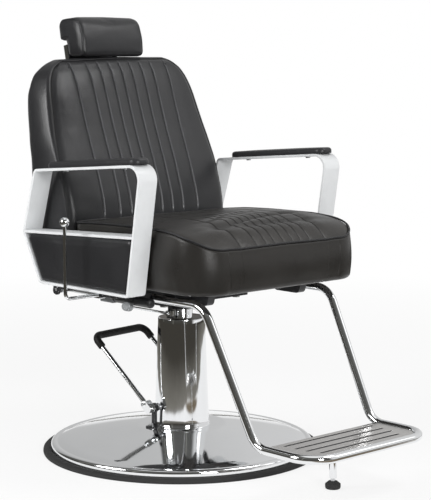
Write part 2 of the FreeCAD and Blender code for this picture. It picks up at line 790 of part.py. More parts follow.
def footrest_plugs():
    z = SEAT_Z - TUBE_TOP_DROP
    bore = TUBE_R - TUBE_WALL - RUN_FIT
    plug = rod(vec(TUBE_TOP_X, TUBE_REAR_Y - 14, z), vec(TUBE_TOP_X, TUBE_REAR_Y, z), bore)
    cap = rod(vec(TUBE_TOP_X, TUBE_REAR_Y, z), vec(TUBE_TOP_X, TUBE_REAR_Y + 2.5, z), TUBE_R)
    return both_sides(plug.fuse(cap).removeSplitter())


def footrest_brackets():
    """Wedge-shaped plates under the seat, each with a saddle that holds an upper run of the tube."""
    z = SEAT_Z
    y = BRACKET_FRONT_Y
    low = z - BRACKET_DROP
    centre = z - TUBE_TOP_DROP
    wedge = side_prism([(y + 134, z), (y + 134, z - 13), (y + 75, low), (y + 6, low), (y, z - 14), (y, z)],
                       (1, 6, 14, 11, 8, 1), BRACKET_X0, BRACKET_X1)
    saddle = block(BRACKET_X1 - 1, TUBE_TOP_X, TUBE_BOLT_YS[1] - 9, TUBE_BOLT_YS[0] + 9, centre - 7, z)
    bore = rod(vec(TUBE_TOP_X, y, centre), vec(TUBE_TOP_X, 0, centre), TUBE_R + FACE_FIT)
    bracket = wedge.fuse(saddle).cut([bore] + tube_bolt_holes(RUN_FIT))
    return both_sides(bracket.removeSplitter())


def tube_bolt_holes(fit):
    z = SEAT_Z - TUBE_TOP_DROP
    return [rod_x(BRACKET_X0 - 1, TUBE_TOP_X, y, z, 3 + fit) for y in TUBE_BOLT_YS]


def footrest_bolts():
    z = SEAT_Z - TUBE_TOP_DROP
    bolts = []
    for y in TUBE_BOLT_YS:
        head = rod_x(BRACKET_X0 - 5, BRACKET_X0, y, z, 5)
        shank = rod_x(BRACKET_X0 - 1, TUBE_TOP_X - 2, y, z, 3)
        bolts += both_sides(head.fuse(shank).removeSplitter())
    return bolts


def footplate():
    half = TUBE_LOW_X - TUBE_R - 1
    front = TUBE_FRONT_Y + TUBE_R + 1
    r = TUBE_FRONT_R - TUBE_R
    top = TUBE_LOW_Z + FOOTPLATE_RISE
    plate = plan_prism([(-half, front), (half, front), (half, FOOTPLATE_REAR_Y), (-half, FOOTPLATE_REAR_Y)],
                       (r, r, 8, 8), top - FOOTPLATE_T, top)
    for y, length in zip(SLOT_YS, SLOT_HALF_LENGTHS):
        w = SLOT_W / 2
        slot = plan_prism([(-length, y - w), (length, y - w), (length, y + w), (-length, y + w)],
                          (w - 0.05, w - 0.05, w - 0.05, w - 0.05), top - FOOTPLATE_T - 1, top + 1)
        plate = plate.cut(slot)
    return [plate]


def footplate_straps():
    """Two flat cross bars between the side runs of the tube, under the plate."""
    under = TUBE_LOW_Z + FOOTPLATE_RISE - FOOTPLATE_T
    half = TUBE_LOW_X - TUBE_R + 1.5
    tubes = swept(tube_path(), TUBE_R + FACE_FIT)
    bars = [block(-half, half, y - 11, y + 11, under - 5, under) for y in (LEG_Y, TUBE_FRONT_Y + 48)]
    return [bar.cut(tubes) for bar in bars]


def footrest_leg():
    top = TUBE_LOW_Z + FOOTPLATE_RISE - FOOTPLATE_T - 5
    tube = rod_z(0, LEG_Y, FOOT_LIFT + FOOT_H + 7, top, LEG_R)
    return [tube.cut(rod_z(0, LEG_Y, 0, top - 20, 5 + RUN_FIT))]


def footrest_stem():
    return [rod_z(0, LEG_Y, FOOT_LIFT + FOOT_H - 4, FOOT_LIFT + FOOT_H + 48, 5)]


def footrest_foot():
    z0 = FOOT_LIFT
    foot = Part.makeCone(FOOT_R - 1.5, FOOT_R, 4, vec(0, LEG_Y, z0))
    foot = foot.fuse(rod_z(0, LEG_Y, z0 + 4, z0 + 10, FOOT_R))
    foot = foot.fuse(Part.makeCone(FOOT_R, FOOT_R - 7, FOOT_H - 10, vec(0, LEG_Y, z0 + 10)))
    return [foot.cut(rod_z(0, LEG_Y, FOOT_LIFT + FOOT_H - 4, 60, 5)).removeSplitter()]


# Backrest

def back_sections():
    """Heights of the backrest sections with half width, front y, rear y, front and rear corner radius."""
    w = BACK_HALF_W
    z = SEAT_Z
    y = BACK_REAR_Y
    return ((z + BACK_BOTTOM_H, w - 6, 106.0, y - 8, 9.0, 22.0),
            (z + BACK_BOTTOM_H + 9, w, 101.0, y - 4, 9.0, 24.0),
            (z + 129, w, 103.5, y - 4, 9.0, 24.0),
            (z + 169, w, 109.5, y - 4, 9.0, 24.0),
            (z + 209, w, 121.5, y - 4, 9.0, 24.0),
            (z + BACK_KINK_H, w - 0.5, 135.5, y - 3, 9.0, 24.0),
            (z + 289, w - 2, 151.5, y + 5, 9.0, 24.0),
            (z + 329, w - 5, 167.0, y + 13.5, 9.0, 24.0),
            (z + 369, w - 9, 181.0, y + 22, 9.0, 24.0),
            (z + COVER_TOP_H, w - 14, 193.0, y + 26, 9.0, 24.0),
            (z + 439, w - 23, 205.5, y + 24, 9.0, 22.0),
            (z + 459, w - 33, 214.5, y + 17, 9.0, 18.0),
            (z + 473, w - 46, 224.0, y + 8, 8.0, 12.0),
            (z + 482, w - 60, 232.0, y, 6.0, 6.0),
            (z + 487, w - 74, 239.0, y - 6, 4.0, 4.0))


def back_section(z, half, front, rear, radius, q):
    flat = half - radius
    scale = min(1.0, (flat - 6) / (BACK_SEAMS[-1] + 18))
    xs = [x * scale for x in BACK_SEAMS]
    k = math.sqrt(0.5)
    edges = []
    knots = [-flat] + xs + [flat]
    for a, b in zip(knots[:-1], knots[1:]):
        rise = BACK_SEAM_RISE if b - a < 60 else BACK_SEAM_RISE * 1.3
        edges.append(arc(vec(a, front, z), vec((a + b) / 2, front - rise, z), vec(b, front, z)))
    edges.append(arc(vec(flat, front, z), vec(flat + radius * k, front + radius * (1 - k), z),
                     vec(half, front + radius, z)))
    edges.append(line(vec(half, front + radius, z), vec(half, rear - q, z)))
    m = q * (1 - k)
    edges.append(arc(vec(half, rear - q, z), vec(half - m, rear - m, z), vec(half - q, rear, z)))
    edges.append(line(vec(half - q, rear, z), vec(q - half, rear, z)))
    edges.append(arc(vec(q - half, rear, z), vec(m - half, rear - m, z), vec(-half, rear - q, z)))
    edges.append(line(vec(-half, rear - q, z), vec(-half, front + radius, z)))
    edges.append(arc(vec(-half, front + radius, z), vec(-flat - radius * k, front + radius * (1 - k), z),
                     vec(-flat, front, z)))
    return Part.Wire(edges)


def cover_solid(grow):
    """Panel on the rear of the backrest, enlarged by a clearance for the recess it sits in."""
    lean = math.tan(math.radians(BACK_LEAN))
    z0 = SEAT_Z + BACK_BOTTOM_H + 24 - grow
    z1 = SEAT_Z + COVER_TOP_H + grow
    y = BACK_REAR_Y
    back = y + (z1 - KINK_Z) * lean
    deep = COVER_T + grow
    side = [(y, z0), (y, KINK_Z), (back, z1), (back - deep, z1), (y - deep, KINK_Z), (y - deep, z0)]
    width = BACK_HALF_W - 22 + grow
    slab = Part.Face(Part.makePolygon([vec(-width, a, b) for a, b in side + side[:1]]))
    slab = slab.extrude(vec(2 * width, 0, 0))
    top = width - 32
    shoulder = z1 - 95
    outline = [vec(-width, 0, z0), vec(width, 0, z0), vec(width, 0, shoulder), vec(top, 0, z1),
               vec(-top, 0, z1), vec(-width, 0, shoulder)]
    mask = Part.Face(rounded_loop(outline, (20, 20, 60, 30, 30, 60))).extrude(vec(0, 500, 0))
    return slab.common(mask)


def back_cushion():
    stations = even_stations(back_sections(), LOFT_STEP)
    filled = Part.makeLoft([back_section(*station) for station in stations], True, False)
    return [filled.cut(cover_solid(SEAT_FIT))]


def back_cover():
    return [cover_solid(0)]


def hinge_holes(shape):
    return shape.cut(rod_x(-SEAT_W, SEAT_W, PIVOT_Y, PIVOT_Z, PIVOT_R + RUN_FIT))


def frame_hinge_plates():
    """Fixed plates that stand on the rear strap and carry the backrest pivots."""
    x0 = HINGE_X
    y = PIVOT_Y
    z = PIVOT_Z
    y0 = STRAP_YS[1] - STRAP_W / 2 + 2
    y1 = STRAP_YS[1] + STRAP_W / 2 - 2
    plate = side_prism([(y0, ARM_Z), (y1, ARM_Z), (y + 17, z - 10), (y + 17, z + 17), (y - 17, z + 17)],
                       (2, 12, 14, 14, 12), x0, x0 + HINGE_T)
    foot = block(SEAT_W / 2 - 26, x0 + HINGE_T, y0, y1, ARM_Z, ARM_Z + 4)
    return both_sides(hinge_holes(plate.fuse(foot)).removeSplitter())


def back_hinge_plates():
    x0 = BACK_HALF_W + FACE_FIT
    x1 = SEAT_W / 2 - 0.2
    y = PIVOT_Y
    z = PIVOT_Z
    upper = side_prism([(y - 18, z - 12), (y + 18, z - 12), (y + 36, z + 54), (y - 18, z + 54)],
                       (10, 10, 10, 10), x0, x1)
    a = math.radians(LEVER_SET_ANGLE)
    down = vec(0, math.sin(a), -math.cos(a))
    across = vec(0, math.cos(a), math.sin(a))
    pivot = vec(x0, y, z)
    end = pivot + down * (LEVER_DROP / math.cos(a) + 12)
    corners = [pivot - across * 13, pivot + across * 13, end + across * 10, end - across * 10]
    lever = Part.Face(rounded_loop(corners, (2, 2, 8, 8))).extrude(vec(x1 - x0, 0, 0))
    h = LEVER_PIN_R + HOLE_FIT
    slot_in = pivot + down * (LEVER_DROP - h)
    slot_out = pivot + down * (LEVER_DROP / math.cos(a) + h)
    slot = [slot_in - across * h, slot_in + across * h, slot_out + across * h, slot_out - across * h]
    cutter = Part.Face(Part.makePolygon(slot + slot[:1])).extrude(vec(x1 - x0 + 2, 0, 0))
    cutter.translate(vec(-1, 0, 0))
    plate = hinge_holes(upper.fuse(lever).removeSplitter().cut(cutter))
    return both_sides(plate)


def back_pivot_pins():
    x0 = BACK_HALF_W - 5
    x1 = HINGE_X + HINGE_T
    pin = rod_x(BACK_HALF_W, x1, PIVOT_Y, PIVOT_Z, PIVOT_R)
    return both_sides(pin.fuse(rod_x(x0, BACK_HALF_W, PIVOT_Y, PIVOT_Z, PIVOT_R + 3.5)).removeSplitter())


# Recline lever, gas spring and swivel lock

def spring_bore():
    start = vec(SPRING_X, SPRING_FRONT_Y + 15, SPRING_Z)
    return rod(start, vec(SPRING_X, 30, SPRING_Z), SPRING_ROD_R + RUN_FIT)


def gas_spring_cylinder():
    body = rod(vec(SPRING_X, SPRING_FRONT_Y, SPRING_Z), vec(SPRING_X, SPRING_HEAD_Y, SPRING_Z), SPRING_R)
    body = body.makeFillet(6, edges_at(body, lambda b: b.YMax < SPRING_FRONT_Y + 0.01))
    return [body.cut(spring_bore())]


def release_head():
    x = SPRING_X
    head = block(x - 12, x + 12, SPRING_HEAD_Y, 5, SPRING_Z - 11.5, ARM_Z - 1)
    head = head.makeFillet(3, edges_at(head, lambda b: b.YLength > 30))
    head = head.cut(spring_bore())
    head = head.cut(rod_x(x - 30, x - 6.5, HANDLE_Y, HANDLE_Z, HANDLE_ROD_R + RUN_FIT))
    hanger = block(x - 12, x + 12, -3, STRAP_YS[1] - STRAP_W / 2 + 20, STRAP_Z - 4, STRAP_Z)
    return [head.fuse(hanger.cut(rod(vec(x, -10, SPRING_Z), vec(x, 90, SPRING_Z), 6.5))).removeSplitter()]


def spring_hanger():
    """Saddle that hangs the front of the gas spring from the front strap."""
    x = SPRING_X
    y = STRAP_YS[0]
    saddle = block(x - 13, x + 13, y - 8, y + 8, SPRING_Z - 5, STRAP_Z)
    return [saddle.cut(rod(vec(x, y - 20, SPRING_Z), vec(x, y + 20, SPRING_Z), SPRING_R + FACE_FIT))]


def gas_spring_rod():
    pin_y = PIVOT_Y + LEVER_DROP * math.tan(math.radians(LEVER_SET_ANGLE))
    start = vec(SPRING_X, SPRING_HEAD_Y - 25, SPRING_Z)
    shaft = rod(start, vec(SPRING_X, pin_y, SPRING_Z), SPRING_ROD_R)
    eye = rod_x(SPRING_X - 9, SPRING_X + 9, pin_y, SPRING_Z, 9)
    pin = rod_x(-SEAT_W / 2, SPRING_X, pin_y, SPRING_Z, LEVER_PIN_R)
    return [shaft.fuse([eye, pin]).removeSplitter()]


def lever_clamp():
    x = -ARM_IN_X
    clamp = block(x - 9, x + 11, HANDLE_Y - 9, HANDLE_Y + 9, HANDLE_Z - 8, ARM_Z)
    clamp = clamp.makeFillet(2.5, edges_at(clamp, lambda b: b.ZMax < ARM_Z - 0.01))
    return [clamp.cut(rod_x(x - 30, x + 30, HANDLE_Y, HANDLE_Z, HANDLE_ROD_R + RUN_FIT))]


def recline_lever_rod():
    points = [vec(HANDLE_X, HANDLE_Y, HANDLE_Z + HANDLE_H), vec(HANDLE_X, HANDLE_Y, HANDLE_Z),
              vec(SPRING_X - 7, HANDLE_Y, HANDLE_Z)]
    return [swept(rounded_path(points, (12,)), HANDLE_ROD_R)]


def recline_lever_ball():
    centre = vec(HANDLE_X, HANDLE_Y, HANDLE_Z + HANDLE_H + HANDLE_BALL_R - 3)
    ball = Part.makeSphere(HANDLE_BALL_R, centre)
    return [ball.cut(rod_z(HANDLE_X, HANDLE_Y, HANDLE_Z, HANDLE_Z + HANDLE_H, HANDLE_ROD_R))]


def lock_lever_points():
    start = vec(LOCK_STUD[0], LOCK_STUD[1], PLATE_Z - LOCK_STUD_H + 5)
    return start, vec(LOCK_END[0], LOCK_END[1], SEAT_Z - LOCK_END_DROP)


def lock_lever_rod():
    start, end = lock_lever_points()
    low = PLATE_Z - LOCK_STUD_H
    eye = rod_z(LOCK_STUD[0], LOCK_STUD[1], low + FACE_FIT, low + 12, 10)
    lever = eye.fuse(rod(start + unit(end - start) * 7, end, LOCK_ROD_R))
    bore = rod_z(LOCK_STUD[0], LOCK_STUD[1], low - 1, PLATE_Z, LOCK_STUD_R + RUN_FIT)
    return [lever.cut(bore).removeSplitter()]


def lock_lever_knob():
    start, end = lock_lever_points()
    ahead = unit(end - start)
    knob = rod(end - ahead * 10, end + ahead * 12, 10)
    knob = knob.makeFillet(3, knob.Edges[:1] + knob.Edges[2:3])
    return [knob.cut(rod(start, end, LOCK_ROD_R))]


# Headrest: parts built upright behind the kink of the backrest, then leaned with it

def leaned(shape):
    shape.rotate(ORIGIN, ALONG_X, -BACK_LEAN)
    shape.translate(vec(0, BACK_REAR_Y, KINK_Z))
    return shape


def tilt_pin_local():
    """Height along the lean and distance off the backrest of the tilt pin."""
    a = math.radians(BACK_LEAN)
    dy = TILT_PIN[0] - BACK_REAR_Y
    dz = SEAT_Z + TILT_PIN[1] - KINK_Z
    return dy * math.sin(a) + dz * math.cos(a), dy * math.cos(a) - dz * math.sin(a)


def headrest_guide():
    s0, s1 = GUIDE_S
    w = CARRIER_HALF_W + 0.6
    outer = CARRIER_OFF + CARRIER_DEPTH
    guide = block(-w - 16, w + 16, 0.1, 3.1, s0, s1)
    for low in (s0 + 4, s1 - 28):
        guide = guide.fuse(block(-w - 4, w + 4, 3, outer + 3.5, low, low + 24))
        guide = guide.cut(block(-w, w, 3.1, outer + 0.5, low - 1, low + 25))
    guide = guide.cut(rod(vec(0, 10, s0 + 16), vec(0, 40, s0 + 16), KNOB_SCREW_R + RUN_FIT))
    return [leaned(guide.removeSplitter())]


def guide_knob():
    s = GUIDE_S[0] + 16
    face = CARRIER_OFF + CARRIER_DEPTH
    knob = rod(vec(0, face + 6, s), vec(0, face + 20, s), 15)
    for i in range(5):
        a = math.radians(72 * i)
        lobe = rod(vec(14 * math.cos(a), face + 8, s + 14 * math.sin(a)),
                   vec(14 * math.cos(a), face + 18, s + 14 * math.sin(a)), 6)
        knob = knob.fuse(lobe)
    screw = rod(vec(0, face + 0.3, s), vec(0, face + 7, s), KNOB_SCREW_R)
    return [leaned(knob.fuse(screw).removeSplitter())]


def headrest_carrier():
    w = CARRIER_HALF_W
    t = CARRIER_T
    n0 = CARRIER_OFF
    n1 = n0 + CARRIER_DEPTH
    s1 = CARRIER_TOP_S
    s0 = s1 - CARRIER_LENGTH
    channel = block(-w, w, n0, n1, s0, s1).cut(block(t - w, w - t, n0 - 1, n1 - t, s0 - 1, s1 + 1))
    pin_s, pin_n = tilt_pin_local()
    lugs = []
    for x in (-34, 26):
        lugs.append(block(x, x + 8, pin_n, n1 - 1, pin_s - 6, pin_s + 6))
        lugs.append(rod_x(x, x + 8, pin_n, pin_s, 6))
    lugs.append(rod_x(-46, 46, pin_n, pin_s, TILT_PIN_R))
    return [leaned(channel.fuse(lugs).removeSplitter())]


def head_profile():
    """Side view of the headrest cushion as (y, height above the seat underside)."""
    return [(337, 579), (266, 585), (240, 529), (236, 490.5), HEAD_STEP_LOW, HEAD_STEP_HIGH, (328, 527)]


def head_section(x, shrink):
    points = [(y, SEAT_Z + h) for y, h in head_profile()]
    return side_wire(inset(points, [shrink] * len(points)), (18, 16, 60, 9, 7, 4, 6), x)


def headrest_cushion():
    w = HEAD_HALF_W
    stations = ((-w, 9), (-w + 2, 5), (-w + 6, 2), (-w + 13, 0))
    mirrored = tuple((-x, s) for x, s in stations[::-1])
    return [Part.makeLoft([head_section(x, s) for x, s in stations + mirrored], True, True)]


def headrest_board():
    """Steel plate on the rear of the cushion with two lugs on the tilt pin."""
    low = vec(0, HEAD_STEP_LOW[0], SEAT_Z + HEAD_STEP_LOW[1])
    high = vec(0, HEAD_STEP_HIGH[0], SEAT_Z + HEAD_STEP_HIGH[1])
    along = unit(high - low)
    off = vec(0, along.z, -along.y)
    a = low + along * 7 + off * 0.2
    b = high - along * 7 + off * 0.2
    face = Part.Face(Part.makePolygon([a, b, b + off * 3, a + off * 3, a])).extrude(vec(120, 0, 0))
    face.translate(vec(-60, 0, 0))
    y, z = TILT_PIN[0], SEAT_Z + TILT_PIN[1]
    lugs = []
    for x in (-43.5, 35.5):
        foot = low + along * ((vec(0, y, z) - low).dot(along)) + off * 2
        lug = rod_x(x, x + 8, y, z, 7)
        web = [foot - along * 7, foot + along * 7, vec(0, y, z) + along * 7, vec(0, y, z) - along * 7]
        plate = Part.Face(Part.makePolygon(web + web[:1])).extrude(vec(8, 0, 0))
        plate.translate(vec(x, 0, 0))
        lugs += [lug, plate]
    board = face.fuse(lugs).cut(rod_x(-80, 80, y, z, TILT_PIN_R + RUN_FIT))
    return [board.removeSplitter()]


NODES = (
    ("base_disc", base_disc),
    ("base_rim_ring", base_rim_ring),
    ("pump_body", pump_body),
    ("pump_bolts", pump_bolts),
    ("pump_cylinder", pump_cylinder),
    ("cylinder_bush", cylinder_bush),
    ("pump_sleeve", pump_sleeve),
    ("shaft_brackets", shaft_brackets),
    ("bracket_screws", bracket_screws),
    ("pedal_shaft", pedal_shaft),
    ("pedal_rod", pedal_rod),
    ("pedal_grip", pedal_grip),
    ("pedal_clamps", pedal_clamps),
    ("pedal_clamp_screws", pedal_clamp_screws),
    ("piston", piston),
    ("head_hub", head_hub),
    ("head_plate", head_plate),
    ("head_plate_bolts", head_plate_bolts),
    ("frame_rails", frame_rails),
    ("frame_straps", frame_straps),
    ("seat_battens", seat_battens),
    ("seat_board", seat_board),
    ("seat_cushion", seat_cushion),
    ("arm_pad_screws", arm_pad_screws),
    ("arm_bolts", arm_bolts),
    ("footrest_tube", footrest_tube),
    ("footrest_plugs", footrest_plugs),
    ("footrest_brackets", footrest_brackets),
    ("footrest_bolts", footrest_bolts),
    ("footplate", footplate),
    ("footplate_straps", footplate_straps),
    ("footrest_leg", footrest_leg),
    ("footrest_stem", footrest_stem),
    ("footrest_foot", footrest_foot),
    ("frame_hinge_plates", frame_hinge_plates),
    ("back_pivot_pins", back_pivot_pins),
    ("gas_spring_cylinder", gas_spring_cylinder),
    ("release_head", release_head),
    ("spring_hanger", spring_hanger),
    ("gas_spring_rod", gas_spring_rod),
    ("lever_clamp", lever_clamp),
    ("recline_lever_rod", recline_lever_rod),
    ("recline_lever_ball", recline_lever_ball),
    ("lock_lever_rod", lock_lever_rod),
    ("lock_lever_knob", lock_lever_knob),
    ("back_cushion", back_cushion),
    ("back_cover", back_cover),
    ("back_hinge_plates", back_hinge_plates),
    ("headrest_guide", headrest_guide),
    ("guide_knob", guide_knob),
    ("headrest_carrier", headrest_carrier),
    ("headrest_board", headrest_board),
    ("headrest_cushion", headrest_cushion),
)
SIDED_NODES = (("arm_loop", arm_loop), ("arm_pad", arm_pad), ("arm_panel", arm_panel))


def save(name, solids):
    shape = solids[0] if len(solids) == 1 else Part.makeCompound(solids)
    shape.exportStep(os.path.join("parts", name + ".step"))


os.makedirs("parts", exist_ok=True)
for node_name, maker in NODES:
    save(node_name, maker())
for node_name, maker in SIDED_NODES:
    save(node_name + "_left", maker(0))
    save(node_name + "_right", maker(1))
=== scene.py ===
import json
import logging
import math
from dataclasses import dataclass, field
from enum import Enum
from typing import Callable, Optional, Sequence, Union

import bpy
import numpy as np
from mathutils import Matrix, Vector, noise


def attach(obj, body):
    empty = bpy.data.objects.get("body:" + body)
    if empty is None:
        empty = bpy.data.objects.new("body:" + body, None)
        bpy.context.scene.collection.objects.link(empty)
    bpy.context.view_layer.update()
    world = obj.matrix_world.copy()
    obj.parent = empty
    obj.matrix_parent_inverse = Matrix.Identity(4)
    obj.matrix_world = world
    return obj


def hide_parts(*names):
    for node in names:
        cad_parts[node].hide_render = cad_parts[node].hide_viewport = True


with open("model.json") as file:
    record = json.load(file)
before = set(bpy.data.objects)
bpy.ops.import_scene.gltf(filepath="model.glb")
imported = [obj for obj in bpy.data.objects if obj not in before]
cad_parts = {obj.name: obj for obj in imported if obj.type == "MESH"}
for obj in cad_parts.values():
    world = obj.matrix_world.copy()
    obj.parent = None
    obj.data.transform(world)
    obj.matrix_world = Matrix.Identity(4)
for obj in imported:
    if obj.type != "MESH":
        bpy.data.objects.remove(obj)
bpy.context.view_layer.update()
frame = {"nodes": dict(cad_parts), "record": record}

Array = np.ndarray
Colour = tuple[float, float, float]
Triple = tuple[float, float, float]
log = logging.getLogger("barber_chair")

MM = 0.001
SEAT_Z = 411.0
ARM_Z = 401.0
BAR_EDGE = 1.3
WHITE = (1.0, 1.0, 1.0)
BLACK = (0.0, 0.0, 0.0)
ORIGIN = (0.0, 0.0, 0.0)
UP = (0.0, 0.0, 1.0)
MIX_RESULT = 2
PADDING_PRESSURE = 4.0


class Side(Enum):
    """A side of the chair as the sitter names it, with the sign of its X."""

    LEFT = 1.0
    RIGHT = -1.0


class Body(Enum):
    """The moving bodies that pieces ride on."""

    BASE = "base"
    PEDAL = "pedal"
    RAM = "ram"
    SEAT = "seat"
    BACK = "back"
    RECLINE_LEVER = "recline_lever"
    HEADREST = "headrest"


# Shader maths


def operator(operation: str, swapped: bool = False) -> Callable[["Wire", "Value"], "Wire"]:
    """An arithmetic method for wires.

    Args:
        operation: The operation of the Math node that it adds.
        swapped: Whether it is the reflected form, with the other value first.

    Returns:
        The method.
    """

    def method(wire: "Wire", other: "Value") -> "Wire":
        """The two values through one Math node."""
        return wire.net.maths(operation, *((other, wire) if swapped else (wire, other)))

    return method


class Wire:
    """A shader value that takes part in Python arithmetic by adding Math nodes."""

    def __init__(self, net: "Net", socket: bpy.types.NodeSocket) -> None:
        """Wraps one output socket."""
        self.net, self.socket = net, socket

    __add__, __radd__ = operator("ADD"), operator("ADD", True)
    __sub__, __rsub__ = operator("SUBTRACT"), operator("SUBTRACT", True)
    __mul__, __rmul__ = operator("MULTIPLY"), operator("MULTIPLY", True)
    __pow__ = operator("POWER")

    def clamped(self) -> "Wire":
        """The value held between 0 and 1."""
        return self.net.wire("Clamp", Value=self)


Value = Union[Wire, float]


class Net:
    """The node tree of one material or of the world."""

    def __init__(self, owner: Union[bpy.types.Material, bpy.types.World]) -> None:
        """Gives the owner an empty tree.

        Args:
            owner: The material or the world.
        """
        owner.use_nodes = True
        self.tree = owner.node_tree
        self.tree.nodes.clear()

    def node(self, kind: str, settings: Optional[dict[str, object]] = None, **sockets: object) -> bpy.types.Node:
        """Adds a node.

        Args:
            kind: The node's type, without its prefix.
            settings: What to set on the node before its sockets; "stops" fills a colour ramp with grey.
            **sockets: Values or wires of its inputs, by name with spaces as underscores, or by "i" and a number.

        Returns:
            The new node.
        """
        made = self.tree.nodes.new("ShaderNode" + kind)
        for name, value in (settings or {}).items():
            if name == "stops":
                elements = made.color_ramp.elements
                while len(elements) < len(value):
                    elements.new(0.5)
                for element, (position, grey) in zip(elements, value):
                    element.position, element.color = position, (grey, grey, grey, 1.0)
            else:
                setattr(made, name, value)
        for name, value in sockets.items():
            numbered = name[0] == "i" and name[1:].isdigit()
            target = made.inputs[int(name[1:]) if numbered else name.replace("_", " ")]
            if isinstance(value, Wire):
                self.tree.links.new(value.socket, target)
            else:
                target.default_value = value
        return made

    def wire(self, kind: str, settings: Optional[dict[str, object]] = None, output: Union[int, str] = 0,
             **sockets: object) -> Wire:
        """Adds a node and gives one of its outputs.

        Args:
            kind: The node's type, without its prefix.
            settings: What to set on the node before its sockets.
            output: The output's number or name.
            **sockets: Values or wires of its inputs.

        Returns:
            The output.
        """
        return Wire(self, self.node(kind, settings, **sockets).outputs[output])

    def maths(self, operation: str, a: Value, b: Value) -> Wire:
        """Two values through one Math node."""
        return self.wire("Math", {"operation": operation}, i0=a, i1=b)

    def split(self, vector: Wire) -> tuple[Wire, Wire, Wire]:
        """X, Y and Z of a vector."""
        parts = self.node("SeparateXYZ", Vector=vector)
        return Wire(self, parts.outputs[0]), Wire(self, parts.outputs[1]), Wire(self, parts.outputs[2])

    def place(self) -> Wire:
        """The point on the piece at rest, in metres."""
        return self.wire("TexCoord", output="Object")

    def stretched(self, x: float, y: float, z: float) -> Wire:
        """The point on the piece with each axis scaled by its own number."""
        return self.wire("Mapping", Vector=self.place(), Scale=(x, y, z))

    def grain(self, scale: float, detail: float = 2.0, vector: Optional[Wire] = None) -> Wire:
        """Noise from 0 to 1, of so many cells a metre and octaves, read at the piece's own place or another."""
        return self.wire("TexNoise", Vector=vector or self.place(), Scale=scale, Detail=detail)

    def cells(self, scale: float) -> Wire:
        """Distance from the edges of a pebbled grain's cells, of so many cells a metre."""
        return self.wire("TexVoronoi", {"feature": "DISTANCE_TO_EDGE"}, Vector=self.place(), Scale=scale)

    def ramp(self, value: Wire, *stops: tuple[float, float]) -> Wire:
        """A value passed through a grey ramp, whose stops are each a position and a result."""
        return self.wire("ValToRGB", {"stops": stops}, Fac=value)

    def blend(self, factor: Value, a: Union[Wire, Colour], b: Union[Wire, Colour]) -> Wire:
        """Mixes two colours: the factor 0 gives the first and 1 the second."""
        ends = [c if isinstance(c, Wire) else (*c, 1.0) for c in (a, b)]
        return self.wire("Mix", {"data_type": "RGBA"}, MIX_RESULT, i0=factor, i6=ends[0], i7=ends[1])

    def mark(self, name: str) -> Wire:
        """A value that the mesh carries per point under a name, 0 where it carries none."""
        return self.wire("Attribute", {"attribute_name": name}, "Fac")

    def bump(self, height: Wire, depth: float, strength: float) -> Wire:
        """A normal disturbed by a height, where 1 is the depth in metres, at a share of its strength."""
        return self.wire("Bump", Height=height, Distance=depth, Strength=strength)

    def shade(self, **sockets: Union[Value, Colour]) -> None:
        """Ends a material with its Principled BSDF, whose sockets are given by name."""
        shader = self.wire("BsdfPrincipled", **sockets)
        self.node("OutputMaterial", Surface=shader)


# Finishes


@dataclass(frozen=True)
class Finish:
    """A surface finish and the record's slot it stands for."""

    name: str
    slot: str
    colour: Colour

    def material(self) -> bpy.types.Material:
        """Makes the Blender material on first use.

        Returns:
            The material.
        """
        made = bpy.data.materials.get(self.name)
        if not made:
            made = bpy.data.materials.new(self.name)
            self.paint(Net(made))
        return made

    def paint(self, net: Net) -> None:
        """Fills the material's node tree."""
        raise NotImplementedError

    def tint(self, factor: float, lift: float = 0.0) -> Colour:
        """The finish's colour times a factor, with a little white added."""
        return tuple(min(1.0, c * factor + lift) for c in self.colour)

    def toned(self, net: Net, amount: Wire, spread: float) -> Wire:
        """The finish's colour, darker where the amount is 0 and lighter where it is 1, by a share of itself."""
        return net.blend(amount, self.tint(1 - spread), self.tint(1 + spread))


@dataclass(frozen=True)
class Leatherette(Finish):
    """Coated upholstery cloth with a fine pebble grain and a soft sheen."""

    grain_scale: float = 620.0
    roughness: float = 0.34
    sheen: float = 0.32

    def paint(self, net: Net) -> None:
        """Fills the tree with the grain, highlights painted on the ridges beside the seams, and shade painted in the
        seams.

        Args:
            net: The material's node tree.
        """
        broad = net.grain(9.0, 3.0)
        pebble = net.ramp(net.cells(self.grain_scale), (0.0, 0.0), (0.35, 1.0))
        fine = net.grain(1900.0)
        seam, wear = net.mark("seam"), net.mark("wear")
        colour = net.blend(pebble * 0.22, self.toned(net, broad, 0.3), self.tint(1.35))
        # Painted highlight: this mark lightens the colour up to nine times itself; below, it also lowers the roughness
        # a little.
        colour = net.blend((wear * 0.85).clamped(), colour, self.tint(9.0))
        # Painted shade: the seam mark darkens the colour in the seam grooves, the crease and beside and under the
        # piping; below, it also roughens them.
        colour = net.blend((seam * 0.8).clamped(), colour, self.tint(0.22))
        rough = self.roughness + (broad - 0.5) * 0.24 - wear * 0.08 + seam * 0.25 - pebble * 0.03
        height = pebble * 0.7 + fine * 0.3 + net.grain(48.0, 3.0) * 4.0
        net.shade(Base_Color=colour, Roughness=rough.clamped(), Normal=net.bump(height, 0.00016, 0.5),
                  Specular_IOR_Level=self.sheen)


@dataclass(frozen=True)
class Chrome(Finish):
    """Plated and polished steel with faint polishing haze."""

    roughness: float = 0.045

    def paint(self, net: Net) -> None:
        """Fills the tree with the haze and upright hairlines.

        Args:
            net: The material's node tree.
        """
        haze = net.grain(14.0, 4.0)
        scratch = net.ramp(net.grain(260.0, 2.0, net.stretched(1.0, 1.0, 0.08)), (0.45, 0.0), (0.75, 1.0))
        net.shade(Base_Color=self.toned(net, haze, 0.03), Metallic=1.0,
                  Roughness=self.roughness + haze * 0.03 + scratch * 0.02)


